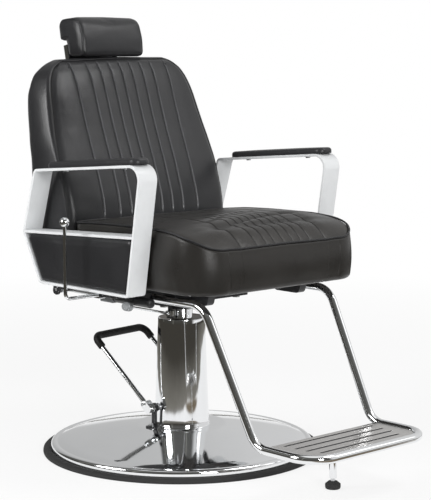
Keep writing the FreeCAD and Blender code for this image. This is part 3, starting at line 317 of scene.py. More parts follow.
@dataclass(frozen=True)
class Paint(Finish):
    """Powder coat or enamel with a little orange peel."""

    roughness: float = 0.35
    peel: float = 0.00005

    def paint(self, net: Net) -> None:
        """Fills the tree with the peel and a film of dust.

        Args:
            net: The material's node tree.
        """
        broad = net.grain(11.0, 3.0)
        dust = net.ramp(net.grain(55.0, 4.0), (0.5, 0.0), (0.8, 1.0))
        net.shade(Base_Color=net.blend(dust * 0.12, self.toned(net, broad, 0.05), self.tint(0.5, 0.16)),
                  Roughness=self.roughness + (broad - 0.5) * 0.1 + dust * 0.08,
                  Normal=net.bump(net.grain(420.0, 1.0), self.peel, 0.6))


@dataclass(frozen=True)
class Casting(Finish):
    """Painted or bare casting with a sandy skin."""

    roughness: float = 0.5
    metallic: float = 0.0

    def paint(self, net: Net) -> None:
        """Fills the tree with the sandy skin.

        Args:
            net: The material's node tree.
        """
        broad = net.grain(30.0, 3.0)
        net.shade(Base_Color=self.toned(net, broad, 0.12), Metallic=self.metallic,
                  Roughness=self.roughness + (broad - 0.5) * 0.16,
                  Normal=net.bump(net.grain(900.0, 3.0), 0.00012, 0.6))


@dataclass(frozen=True)
class Brushed(Finish):
    """Bare or zinc-plated metal with fine marks along one axis."""

    roughness: float = 0.28
    along: Triple = (1.0, 1.0, 0.05)

    def paint(self, net: Net) -> None:
        """Fills the tree with the brush marks.

        Args:
            net: The material's node tree.
        """
        marks = net.grain(900.0, 2.0, net.stretched(*self.along))
        rough = self.roughness + (marks - 0.5) * 0.14 + (net.grain(24.0, 3.0) - 0.5) * 0.06
        net.shade(Base_Color=self.toned(net, marks, 0.07), Metallic=1.0, Roughness=rough,
                  Normal=net.bump(marks, 0.00003, 0.5))


@dataclass(frozen=True)
class Moulded(Finish):
    """Moulded rubber or plastic with a fine texture and scuffs."""

    roughness: float = 0.6
    texture: float = 0.0001
    gloss: float = 0.3

    def paint(self, net: Net) -> None:
        """Fills the tree with the texture and the scuffs.

        Args:
            net: The material's node tree.
        """
        broad = net.grain(18.0, 3.0)
        scuff = net.ramp(net.grain(70.0, 5.0, net.stretched(1.0, 1.0, 0.4)), (0.58, 0.0), (0.8, 1.0))
        net.shade(Base_Color=net.blend(scuff * 0.35, self.toned(net, broad, 0.12), self.tint(0.7, 0.05)),
                  Roughness=self.roughness + scuff * 0.12 + (broad - 0.5) * 0.08,
                  Normal=net.bump(net.grain(1100.0), self.texture, 0.5), Specular_IOR_Level=self.gloss)


@dataclass(frozen=True)
class Wood(Finish):
    """Stained plywood with its face grain along X."""

    roughness: float = 0.62

    def paint(self, net: Net) -> None:
        """Fills the tree with the year rings and the pores.

        Args:
            net: The material's node tree.
        """
        rings_seen = net.grain(60.0, 4.0, net.stretched(0.06, 1.0, 2.0))
        pores = net.grain(700.0, 2.0, net.stretched(0.05, 1.0, 1.0))
        net.shade(Base_Color=net.blend(rings_seen, self.tint(0.72), self.tint(1.15)),
                  Roughness=self.roughness + (pores - 0.5) * 0.15, Normal=net.bump(pores, 0.0001, 0.5))


# Two tinted copies of one charcoal leatherette: the cool tint of the first and the warm tint of the second are painted
# reflections of the room's light.
LEATHER = Leatherette("charcoal_leatherette", "black_upholstery", (0.0190, 0.0191, 0.0206), 620.0, 0.34, 0.4)
WARM_TINT_LEATHER = Leatherette("charcoal_leatherette_warm_reflection", "black_upholstery", (0.0213, 0.0197, 0.0178), 620.0, 0.33, 0.3)
WELT = Leatherette("welt_leatherette", "black_upholstery", (0.018, 0.018, 0.019), 900.0, 0.4)
# The backrest's thread is lighter than the seat's: partly the thread's own tone, partly a painted highlight along the
# seams.
THREAD = Moulded("sewing_thread", "black_upholstery", (0.15, 0.15, 0.152), 0.6, 0.00003)
DARK_THREAD = Moulded("dark_sewing_thread", "black_upholstery", (0.045, 0.044, 0.043), 0.6, 0.00003)
CHROME = Chrome("polished_chrome", "chrome_steel", (0.86, 0.87, 0.88))
ARM_PAINT = Paint("satin_grey_arm_paint", "satin_arm", (0.70, 0.712, 0.72), 0.36)
BLACK_PAINT = Paint("black_frame_paint", "black_steel", (0.022, 0.022, 0.024), 0.33)
GREY_CAST = Casting("grey_die_casting", "grey_casting", (0.30, 0.31, 0.32), 0.4, 0.6)
ZINC = Brushed("zinc_plate", "zinc_steel", (0.66, 0.67, 0.68), 0.3)
GROUND = Brushed("ground_steel", "ground_steel", (0.68, 0.69, 0.70), 0.2)
IRON = Casting("black_cast_iron", "pump_iron", (0.035, 0.035, 0.037), 0.5)
BRONZE = Brushed("oiled_bronze", "bronze", (0.15, 0.12, 0.09), 0.4)
RUBBER = Moulded("black_rubber", "black_rubber", (0.022, 0.021, 0.020), 0.62)
GRIP_RUBBER = Moulded("pedal_rubber", "black_rubber", (0.0065, 0.006, 0.0054), 0.56)
PAD_PLASTIC = Moulded("arm_pad_skin", "black_plastic", (0.026, 0.026, 0.028), 0.36, 0.00006)
PLYWOOD = Wood("stained_plywood", "plywood", (0.045, 0.040, 0.036))
PLATE_METAL = Brushed("brushed_footplate", "chrome_steel", (0.57, 0.555, 0.54), 0.24, (0.04, 1.0, 1.0))


# Geometry in millimetres


def unit(v: Array) -> Array:
    """Vectors scaled to length 1."""
    return v / np.maximum(np.linalg.norm(v, axis=-1, keepdims=True), 1e-12)


def smooth(low: float, high: float, x: Array) -> Array:
    """0 below low, 1 above high and a smooth step between."""
    t = np.clip((np.asarray(x, float) - low) / (high - low), 0, 1)
    return t * t * (3 - 2 * t)


def dent(x: Array, centre: float, width: float) -> Array:
    """A bell of height 1 around a place."""
    return np.exp(-(((np.asarray(x, float) - centre) / width) ** 2))


def unevenness(points: Array, wavelength: float, seed: float = 0.0) -> Array:
    """Smooth noise from about -1 to 1 at points.

    Args:
        points: Points in millimetres.
        wavelength: Size of the unevenness in millimetres.
        seed: Shifts the noise.

    Returns:
        One value a point.
    """
    flat = points.reshape(-1, 3) / wavelength + seed
    values = np.array([noise.noise(Vector(p)) for p in flat])
    return values.reshape(points.shape[:-1])


def resampled(values: Array, old: Array, new: Array, steady: bool = False) -> Array:
    """Values along the first axis read at other places on a smooth curve.

    Args:
        values: Values at the old places.
        old: Old places, rising.
        new: New places.
        steady: Whether the curve never overshoots the values.

    Returns:
        Values at the new places.
    """
    gaps = np.diff(old).reshape(-1, *[1] * (values.ndim - 1))
    slopes = np.diff(values, axis=0) / gaps
    before, after = np.concatenate([slopes[:1], slopes]), np.concatenate([slopes, slopes[-1:]])
    ends = (before + after) / 2
    if steady:
        same = before * after > 0
        ends = np.where(same, 2 * before * after / np.where(same, before + after, 1.0), 0.0)
    i = np.clip(np.searchsorted(old, new, side="right") - 1, 0, len(gaps) - 1)
    step = gaps[i]
    t = (new - old[i]).reshape(step.shape) / step
    return (values[i] * (1 + 2 * t) * (1 - t) ** 2 + values[i + 1] * t * t * (3 - 2 * t)
            + step * t * (1 - t) * (ends[i] * (1 - t) - ends[i + 1] * t))


def through(rows: Sequence[Sequence[float]], at: Array) -> Array:
    """Rows of numbers, each led by its place, read at other places without overshoot; one row a place."""
    table = np.array(rows, float)
    return resampled(table[:, 1:], table[:, 0], at.ravel(), True).reshape(*at.shape, -1)


def rounded(points: Sequence[Sequence[float]], radii: Sequence[float], closed: bool = True, step: float = 6.0) -> Array:
    """Path through points with its corners rounded.

    Args:
        points: Corners.
        radii: Radius at each corner; an open path ignores those of its ends.
        closed: Whether the path comes back to its start.
        step: Degrees between points on an arc.

    Returns:
        The points of the path.
    """
    corners = np.array(points, float)
    count = len(corners)
    out: list[Array] = []
    for i in range(count):
        if (not closed and i in (0, count - 1)) or radii[i] <= 0:
            out.append(corners[i])
            continue
        a = unit(corners[i - 1] - corners[i])
        b = unit(corners[(i + 1) % count] - corners[i])
        half = math.acos(float(np.clip(a @ b, -1, 1))) / 2
        centre = corners[i] + unit(a + b) * (radii[i] / math.sin(half))
        start = corners[i] + a * (radii[i] / math.tan(half)) - centre
        end = corners[i] + b * (radii[i] / math.tan(half)) - centre
        u = unit(start)
        v = unit(end - (end @ u) * u)
        turn = math.pi - 2 * half
        for angle in np.linspace(0, turn, max(2, math.ceil(math.degrees(turn) / step)) + 1):
            out.append(centre + radii[i] * (u * math.cos(angle) + v * math.sin(angle)))
    return np.array(out)


def rectangle(low: tuple[float, float], high: tuple[float, float], radii: Sequence[float], step: float = 6.0) -> Array:
    """Rectangle between two corners, with round corners named from the low one."""
    (a, b), (c, d) = low, high
    return rounded([(a, b), (c, b), (c, d), (a, d)], radii, True, step)


def inset(points: Sequence[Sequence[float]], distances: Sequence[float]) -> Array:
    """Polygon with each side moved inward.

    Args:
        points: Its corners.
        distances: How far each side moves, from the one that leaves the first corner.

    Returns:
        The new corners.
    """
    p = np.array(points, float)
    nxt = np.roll(p, -1, 0)
    area = np.sum(p[:, 0] * nxt[:, 1] - nxt[:, 0] * p[:, 1])
    along = unit(nxt - p)
    normal = np.stack([-along[:, 1], along[:, 0]], 1) * (1.0 if area > 0 else -1.0)
    reach = np.sum(normal * p, 1) + np.array(distances, float)
    return np.array([np.linalg.solve(normal[[i - 1, i]], reach[[i - 1, i]]) for i in range(len(p))])


def divided(outline: Array, step: float) -> Array:
    """Closed outline with its long sides divided.

    Args:
        outline: Its points.
        step: Least length of the pieces of a side that is cut.

    Returns:
        The points with the new ones between them.
    """
    dense = []
    for a, b in zip(outline, np.roll(outline, -1, 0)):
        steps = max(1, int(np.linalg.norm(b - a) / step))
        dense += [a + (b - a) * k / steps for k in range(steps)]
    return np.array(dense)


def lengths(points: Array) -> Array:
    """Length of a polyline from its start to each of its points."""
    return np.concatenate([[0.0], np.cumsum(np.linalg.norm(np.diff(points, axis=0), axis=1))])


def read(values: Array, at: Array, places: Array) -> Array:
    """Rows of values, which stand at rising places, read at other places on straight lines between them."""
    return np.stack([np.interp(places, at, column) for column in values.T], 1)


def headings(path: Array, closed: bool = True) -> Array:
    """Direction of a path at each of its points, from its neighbours and not of length 1.

    Args:
        path: The points.
        closed: Whether the path comes back to its start.

    Returns:
        One vector a point.
    """
    ahead = np.roll(path, -1, 0) - np.roll(path, 1, 0)
    if not closed:
        ahead[0], ahead[-1] = path[1] - path[0], path[-1] - path[-2]
    return ahead


def quads(index: Array) -> Array:
    """Four-sided faces between the neighbours in a grid of point numbers."""
    return np.stack([index[:-1, :-1], index[:-1, 1:], index[1:, 1:], index[1:, :-1]], 2).reshape(-1, 4)


@dataclass
class Surface:
    """Points in millimetres, the faces between them and what the shader reads at each point."""

    points: Array
    faces: list[tuple[int, ...]]
    marks: dict[str, Array] = field(default_factory=dict)

    @classmethod
    def together(cls, parts: Sequence["Surface"]) -> "Surface":
        """Several surfaces as one.

        Args:
            parts: The surfaces, which carry no marks.

        Returns:
            The one surface.
        """
        faces: list[tuple[int, ...]] = []
        offset = 0
        for part in parts:
            faces += [tuple(i + offset for i in f) for f in part.faces]
            offset += len(part.points)
        return cls(np.vstack([part.points for part in parts]), faces)

    @classmethod
    def shown(cls, thing: bpy.types.Object, height: float = 0.0) -> "Surface":
        """What an object shows after its modifiers.

        Args:
            thing: The object.
            height: How far the result is lifted.

        Returns:
            Its surface.
        """
        mesh = bpy.data.meshes.new_from_object(thing.evaluated_get(bpy.context.evaluated_depsgraph_get()))
        points = np.zeros(len(mesh.vertices) * 3)
        mesh.vertices.foreach_get("co", points)
        faces = [tuple(p.vertices) for p in mesh.polygons]
        bpy.data.meshes.remove(mesh)
        return cls(points.reshape(-1, 3) / MM + (0.0, 0.0, height), faces)

    def mesh(self, name: str) -> bpy.types.Mesh:
        """The surface as a Blender mesh.

        Args:
            name: The mesh's name.

        Returns:
            The mesh.
        """
        made = bpy.data.meshes.new(name)
        made.from_pydata((self.points * MM).tolist(), [], self.faces)
        return made

    def mirrored(self) -> "Surface":
        """The same surface on the other side of the chair."""
        return Surface(self.points * (-1.0, 1.0, 1.0), [f[::-1] for f in self.faces], dict(self.marks))

    def outward(self) -> "Surface":
        """Turns the faces so that the surface encloses a volume above 0.

        Returns:
            The surface itself.
        """
        volume = 0.0
        for f in self.faces:
            p = self.points[list(f)]
            volume += sum(float(np.dot(p[0], np.cross(p[k], p[k + 1]))) for k in range(1, len(f) - 1))
        if volume < 0:
            self.faces = [f[::-1] for f in self.faces]
        return self


def rings(levels: Array, wrap: bool = False) -> Surface:
    """Skin through rings of points.

    Args:
        levels: Array of (rings, points, 3); each ring is closed.
        wrap: Whether the last ring joins the first; if not, flat ends close the skin.

    Returns:
        The surface.
    """
    count, around = levels.shape[:2]
    index = np.arange(count * around).reshape(count, around)
    grid = np.hstack([index, index[:, :1]])
    faces = [tuple(f) for f in quads(np.vstack([grid, grid[:1]]) if wrap else grid).tolist()]
    if not wrap:
        faces += [tuple(index[0, ::-1].tolist()), tuple(index[-1].tolist())]
    return Surface(levels.reshape(-1, 3), faces).outward()


def lathe(profile: Sequence[tuple[float, float]], steps: int, closed: bool = True) -> Surface:
    """Turned piece about the vertical axis.

    Args:
        profile: (radius, height) points.
        steps: Facets around.
        closed: Whether the profile comes back to its start.

    Returns:
        The surface.
    """
    angles = np.linspace(0, 2 * math.pi, steps, endpoint=False)
    ring = np.stack([np.cos(angles), np.sin(angles)], 1)
    return rings(np.array([np.column_stack([ring * r, np.full(steps, z)]) for r, z in profile]), closed)


def tube(path: Array, radii: Union[float, Array], sides: int, closed: bool = False) -> Surface:
    """Round bar along a path.

    Args:
        path: Points of its middle line.
        radii: One radius, or one a point.
        sides: Facets around.
        closed: Whether the path comes back to its start.

    Returns:
        The surface.
    """
    size = np.broadcast_to(np.asarray(radii, float), (len(path),))
    ahead = unit(headings(path, closed))
    normals = [unit(np.cross(ahead[0], UP if abs(ahead[0][2]) < 0.9 else (1.0, 0.0, 0.0)))]
    for direction in ahead[1:]:
        normals.append(unit(normals[-1] - (normals[-1] @ direction) * direction))
    first = np.array(normals)
    if closed:
        back = unit(first[-1] - (first[-1] @ ahead[0]) * ahead[0])
        twist = math.atan2(float(np.cross(back, first[0]) @ ahead[0]), float(back @ first[0]))
        share = np.linspace(0, 1, len(path), endpoint=False)[:, None] * twist
        first = first * np.cos(share) + np.cross(ahead, first) * np.sin(share)
    second = np.cross(ahead, first)
    angles = np.linspace(0, 2 * math.pi, sides, endpoint=False)
    levels = [p + r * (np.outer(np.cos(angles), a) + np.outer(np.sin(angles), b))
              for p, r, a, b in zip(path, size, first, second)]
    return rings(np.array(levels), closed)


def flat_bar(path: Array, x0: float, x1: float, thick: float, closed: bool) -> Surface:
    """Flat bar on edge, bent in the side plane.

    Args:
        path: (y, z) points of its middle line.
        x0: Where it starts across the chair.
        x1: Where it ends across the chair.
        thick: Its thickness.
        closed: Whether it is a loop.

    Returns:
        The surface.
    """
    ahead = unit(headings(path, closed))
    across = np.stack([-ahead[:, 1], ahead[:, 0]], 1)
    turn = np.abs(np.sum(across * np.roll(across, 1, 0), 1))
    stretch = np.ones(len(path)) if closed else 1 / np.sqrt(np.clip((1 + turn) / 2, 0.25, 1))
    section = rectangle((-thick / 2, x0), (thick / 2, x1), [BAR_EDGE] * 4, 22.5)
    levels = [np.column_stack([section[:, 1], p[0] + section[:, 0] * n[0] * s, p[1] + section[:, 0] * n[1] * s])
              for p, n, s in zip(path, across, stretch)]
    return rings(np.array(levels), closed)


def pillow(outline: Array, layers: Sequence[tuple[float, float]], crown: Callable[[Array, float], Array],
           inner: int) -> Surface:
    """Flat pad that rises through inset outlines to a crowned face, along +X.

    Args:
        outline: (y, z) points of its outline.
        layers: Inset and X of each outline from the rear face to the front edge.
        crown: X added over the face from (y, z) points and their share of the way to the middle.
        inner: Rings between the front edge and the middle.

    Returns:
        The surface.
    """
    centre = outline.mean(0)
    ahead = unit(headings(outline))
    normal = np.stack([-ahead[:, 1], ahead[:, 0]], 1)
    if np.sum(normal * (centre - outline)) < 0:
        normal = -normal
    levels = [np.column_stack([np.full(len(outline), x), outline + normal * amount]) for amount, x in layers]
    last = levels[-1]
    for k in range(1, inner):
        share = k / inner
        flat = last[:, 1:] + (centre - last[:, 1:]) * share
        levels.append(np.column_stack([last[:, 0] + crown(flat, share), flat]))
    return rings(np.array(levels))


def placed(name: str, data: bpy.types.ID, place: Triple = ORIGIN, turn: Triple = ORIGIN) -> bpy.types.Object:
    """Puts a new object in the scene.

    Args:
        name: Its name.
        data: Its mesh, curve, lamp or camera.
        place: Where it stands, in metres.
        turn: Its turn about each axis, in radians.

    Returns:
        The object.
    """
    made = bpy.data.objects.new(name, data)
    made.location, made.rotation_euler = place, turn
    bpy.context.scene.collection.objects.link(made)
    return made


class Workshop:
    """Turns surfaces into pieces of the scene."""

    def __init__(self) -> None:
        """Starts with no pieces made."""
        self.made: list[str] = []

    def piece(self, name: str, surface: Surface, finish: Finish, body: Body, stands_for: Sequence[str] = (),
              sharp: Optional[float] = None) -> bpy.types.Object:
        """Makes one piece, dresses it and lets it ride.

        Args:
            name: The piece's name.
            surface: Its shape in millimetres.
            finish: Its finish.
            body: The body that it rides on.
            stands_for: The CAD nodes that it replaces.
            sharp: Degrees above which an edge is shaded sharp, or None for all smooth.

        Returns:
            The new object.
        """
        mesh = surface.mesh(name)
        mesh.update()
        mesh.polygons.foreach_set("use_smooth", [True] * len(mesh.polygons))
        if sharp is not None:
            mesh.set_sharp_from_angle(angle=math.radians(sharp))
        for mark, values in surface.marks.items():
            mesh.attributes.new(mark, "FLOAT", "POINT").data.foreach_set("value", values.astype(np.float32))
        mesh.materials.append(finish.material())
        made = placed(name, mesh)
        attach(made, body.value)
        if stands_for:
            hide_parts(*stands_for)
        self.made.append(name)
        log.info("%s: %d points on %s", name, len(surface.points), body.value)
        return made

    def dress(self, node: str, finish: Finish) -> None:
        """Gives a CAD node its finish.

        Args:
            node: The node's name.
            finish: Its finish.
        """
        part = frame["nodes"][node]
        part.data.materials.clear()
        part.data.materials.append(finish.material())
        log.info("%s: finish %s", node, finish.name)


def swollen(surface: Surface, held: Array, pressure: float, limit: Array, frames: int = 20) -> Array:
    """Cloth simulation of padding that swells against its seams.

    Args:
        surface: Closed shell in millimetres.
        held: How firmly each point is held, from 0 to 1.
        pressure: Pressure inside.
        limit: Furthest that each point may move, in millimetres.
        frames: Steps of the simulation.

    Returns:
        How far each point moved, in millimetres.
    """
    mesh = surface.mesh("swelling")
    trial = placed("swelling", mesh)
    group = trial.vertex_groups.new(name="held")
    for level in np.unique(np.round(held, 2)):
        if level > 0:
            group.add(np.nonzero(np.abs(held - level) < 0.006)[0].tolist(), float(level), "REPLACE")
    cloth = trial.modifiers.new("padding", "CLOTH")
    for setting, value in {"quality": 5, "mass": 0.3, "tension_stiffness": 22, "compression_stiffness": 22,
                           "shear_stiffness": 12, "bending_stiffness": 1.5, "use_pressure": True,
                           "uniform_pressure_force": pressure, "vertex_group_mass": "held"}.items():
        setattr(cloth.settings, setting, value)
    cloth.settings.effector_weights.gravity = 0
    cloth.collision_settings.use_collision = False
    cloth.collision_settings.use_self_collision = False
    cloth.point_cache.frame_start, cloth.point_cache.frame_end = 1, frames
    for number in range(1, frames + 1):
        bpy.context.scene.frame_set(number)
    shown = trial.evaluated_get(bpy.context.evaluated_depsgraph_get())
    moved = np.zeros(len(surface.points) * 3)
    shown.data.vertices.foreach_get("co", moved)
    bpy.data.objects.remove(trial)
    bpy.data.meshes.remove(mesh)
    bpy.context.scene.frame_set(1)
    shift = moved.reshape(-1, 3) / MM - surface.points
    length = np.linalg.norm(shift, axis=1)
    log.info("padding moved %.1f mm at most, %.1f on average", length.max(), length.mean())
    return shift * np.minimum(1, limit / np.maximum(length, 1e-9))[:, None]


@dataclass
class Quilt:
    """Closed shell of a face panel, a boxing strip around it and a rear panel.

    The face and the rear are grids of the same rows and columns, and the strip joins their edges.
    """

    face: Array
    rear: Array
    columns: Array
    lines: Array
    depths: Array
    strip: Array = field(default_factory=lambda: np.zeros((0, 0, 3)))
    normals: Array = field(default_factory=lambda: np.zeros((0, 3)))

    @staticmethod
    def rim(grid: Array) -> Array:
        """Values of a grid round its edge, from the first row's start."""
        return np.concatenate([grid[0], grid[1:, -1], grid[-1, -2::-1], grid[-2:0:-1, 0]])

    def around(self) -> Array:
        """Place of each edge point along the whole edge."""
        return lengths(self.rim(np.stack(np.meshgrid(self.columns, self.lines), 2)))

    def box(self, axis: Array, out: Union[float, Array], front_r: float, rear_r: float) -> None:
        """Joins the edges of the two panels with the strip.

        Args:
            axis: Direction from the face to the rear.
            out: How far the strip stands outside the face's edge.
            front_r: Radius beside the face.
            rear_r: Radius beside the rear.
        """
        face, rear = self.rim(self.face), self.rim(self.rear)
        ahead = headings(face)
        ahead -= np.outer(ahead @ axis, axis)
        normals = unit(np.cross(ahead, axis))
        if np.sum(normals * (face - face.mean(0))) < 0:
            normals = -normals
        strip = []
        for f, r, n, o in zip(face, rear, normals, np.broadcast_to(out, len(face))):
            a = f + n * o + axis * o
            b = r + n * max(0.5, float((a - r) @ n))
            room = min(float(np.linalg.norm(b - a)), float(np.linalg.norm(r - b))) * 0.95
            path = rounded([f, a, b, r], [0, min(front_r, room * 0.4), min(rear_r, room), 0], False, 5.0)
            total = lengths(path)
            strip.append(read(path, total, self.depths * total[-1]))
        self.strip, self.normals = np.array(strip), normals

    def surface(self) -> Surface:
        """Joins the panels and the strip.

        Returns:
            The shell as one surface; face points first, then rear, then strip.
        """
        grid = np.arange(self.columns.size * self.lines.size).reshape(self.face.shape[:2])
        spots, layers = self.strip.shape[:2]
        edge = self.rim(grid)[:, None]
        belt = np.hstack([edge, 2 * grid.size + np.arange(spots * layers).reshape(spots, layers), grid.size + edge])
        panels = np.stack([quads(grid), (grid.size + quads(grid))[:, [0, 3, 2, 1]]], 1).reshape(-1, 4)
        faces = np.vstack([panels, quads(np.vstack([belt, belt[:1]]))])
        points = np.vstack([part.reshape(-1, 3) for part in (self.face, self.rear, self.strip)])
        return Surface(points, [tuple(f) for f in faces.tolist()]).outward()

    def held(self, seams: Sequence[float], hold: float) -> Array:
        """How firmly the face is held in the simulation.

        Args:
            seams: Places of its seams.
            hold: How firmly a seam holds, from 0 to 1.

        Returns:
            The hold at each point; the edge is held fully.
        """
        held = np.ones(self.face.shape[:2])
        held[1:-1, 1:-1] = np.where(np.isin(np.round(self.columns, 3), np.round(seams, 3)), hold, 0.0)[1:-1]
        return held

    def swell(self, coarse: "Quilt", held: Array, caps: Array, firm_layers: int, strip_cap: float) -> None:
        """Adds the swelling that a coarser quilt of the same piece shows in the simulation.

        Args:
            coarse: The coarser quilt.
            held: How firmly each point of its face is held, from 0 to 1.
            caps: Furthest that each point of its face may move.
            firm_layers: Layers of the strip beside the rear that are held.
            strip_cap: Furthest that a point of the strip may move.
        """
        strip_held = np.zeros(coarse.strip.shape[:2])
        strip_held[:, -firm_layers:] = 1
        all_held = np.concatenate([held.ravel(), np.ones(held.size), strip_held.ravel()])
        all_caps = np.concatenate([caps.ravel(), np.zeros(held.size), np.full(strip_held.size, strip_cap)])
        shift = swollen(coarse.surface(), all_held, PADDING_PRESSURE, all_caps)
        face, rear = (self.finer(part.reshape(*held.shape, 3), coarse) for part in
                      (shift[:held.size], shift[held.size:2 * held.size]))
        self.face += face
        self.rear += rear
        strip = shift[2 * held.size:].reshape(coarse.strip.shape)
        ends = coarse.around()
        total = 2 * (self.columns[-1] - self.columns[0] + self.lines[-1] - self.lines[0])
        along = resampled(np.concatenate([strip, strip[:1]]), np.append(ends, total), self.around())
        full = np.concatenate([self.rim(face)[:, None], along, self.rim(rear)[:, None]], 1)
        depths = np.concatenate([[0.0], coarse.depths, [1.0]])
        moved = np.swapaxes(resampled(np.swapaxes(full, 0, 1), depths, self.depths), 0, 1)
        outward = self.normals[:, None, :]
        self.strip += np.sum(moved * outward, 2, keepdims=True) * outward

    def finer(self, grid: Array, coarse: "Quilt") -> Array:
        """Values of a coarser quilt's grid read at this one's rows and columns."""
        rows = resampled(grid, coarse.lines, self.lines)
        return np.swapaxes(resampled(np.swapaxes(rows, 0, 1), coarse.columns, self.columns), 0, 1)

    def bulge(self, wave: Array) -> None:
        """Moves the strip outward by a wave that fades towards both panels."""
        self.strip += self.normals[:, None, :] * (wave * np.sin(np.pi * self.depths)[None, :])[..., None]

    def marked(self, seam: Array, wear: Array, strip_painted_shade: Array) -> Surface:
        """Joins the shell and marks it for the shader.

        Args:
            seam: Shade painted over the face in the seams, the crease and along the edge, from 0 to 1.
            wear: Highlight painted over the face, from 0 to 1; it also lowers the roughness a little.
            strip_painted_shade: Shade painted on the strip at each of its layers.

        Returns:
            The shell with its marks.
        """
        surface = self.surface()
        surface.marks["seam"] = np.concatenate([seam.ravel(), np.zeros(seam.size),
                                                np.tile(strip_painted_shade, len(self.strip))])
        surface.marks["wear"] = np.concatenate([wear.ravel(), np.zeros(len(surface.points) - wear.size)])
        return surface

    def stitched(self, seams: Sequence[float], rows: Union[slice, Array], beside: int, offset: Triple,
                 outward: Triple) -> Surface:
        """Stitches along the seams of the face.

        Args:
            seams: Places of the seams.
            rows: Rows of the face that they run over.
            beside: Columns between a seam and its stitches.
            offset: How far the thread lies off that column.
            outward: Direction away from the padding.

        Returns:
            All stitches as one surface.
        """
        threads = []
        for seam in seams:
            line = self.face[rows, int(np.argmin(np.abs(self.columns - seam))) + beside] + np.array(offset)
            threads += stitches(line, np.array(outward))
        return Surface.together(threads)


def stitches(line: Array, outward: Array, pitch: float = 4.2, length: float = 3.2,
             radius: float = 0.5) -> list[Surface]:
    """Row of single stitches lying on a seam.

    Args:
        line: Points of the seam.
        outward: Direction away from the padding.
        pitch: Distance from stitch to stitch.
        length: Length of a stitch.
        radius: Radius of the thread.

    Returns:
        The stitches.
    """
    total = lengths(line)
    shares, lifts, sizes = np.array([(0.0, -0.3, 0.45), (0.12, 0.15, 0.9), (0.5, 0.35, 1.0), (0.88, 0.15, 0.9),
                                     (1.0, -0.3, 0.45)]).T
    made = []
    for start in np.arange(pitch / 2, total[-1] - length, pitch):
        path = read(line, total, start + shares * length) + outward * (lifts * radius)[:, None]
        made.append(tube(path, radius * sizes, 6))
    return made


@dataclass(frozen=True)
class Columns:
    """Columns of a face panel that keep to its seams.

    Each column stands between two knots, which are the seams and the two edges: it has the knot before it, its
    share of the way to the next knot, and its distance from there.
    """

    seams: tuple[float, ...]
    lips: tuple[float, ...]
    spacing: float
    edge: float

    def table(self) -> Array:
        """Sets the columns out where the panel is widest.

        Returns:
            One row a column.
        """
        knots = [-self.edge, *self.seams, self.edge]
        reach = max(self.lips, default=0.0)
        out: list[tuple[float, float, float]] = []
        for i, (a, b) in enumerate(zip(knots[:-1], knots[1:])):
            inside = b - a - 2 * reach
            steps = max(1, round(inside / self.spacing))
            out += [(i, 0.0, lip) for lip in (0.0, *self.lips)]
            out += [(i, (reach + inside * k / steps) / (b - a), 0.0) for k in range(1, steps)]
            out += [(i, 1.0, -lip) for lip in self.lips[::-1]]
        return np.array([*out, (len(self.seams), 1.0, 0.0)])

    def places(self, edge: float, scale: float = 1.0) -> Array:
        """X of the columns in a row.

        Args:
            edge: Half width of this row.
            scale: Share of their distance that the seams keep.

        Returns:
            X of each column.
        """
        knots = np.array([-edge, *[s * scale for s in self.seams], edge])
        i, t, lip = self.table().T
        i = i.astype(int)
        return knots[i] * (1 - t) + knots[i + 1] * t + lip


@dataclass(frozen=True)
class Lamp:
    """Square soft lamp: its place and the point that it lights in metres, the length of its sides and its watts."""

    name: str
    place: Triple
    aim: Triple
    size: float
    power: float

    def build(self) -> None:
        """Puts the lamp in the scene."""
        data = bpy.data.lights.new(self.name, "AREA")
        data.shape, data.size, data.energy = "SQUARE", self.size, self.power
        turn = (Vector(self.aim) - Vector(self.place)).to_track_quat("-Z", "Y").to_euler()
        placed(self.name, data, self.place, turn)


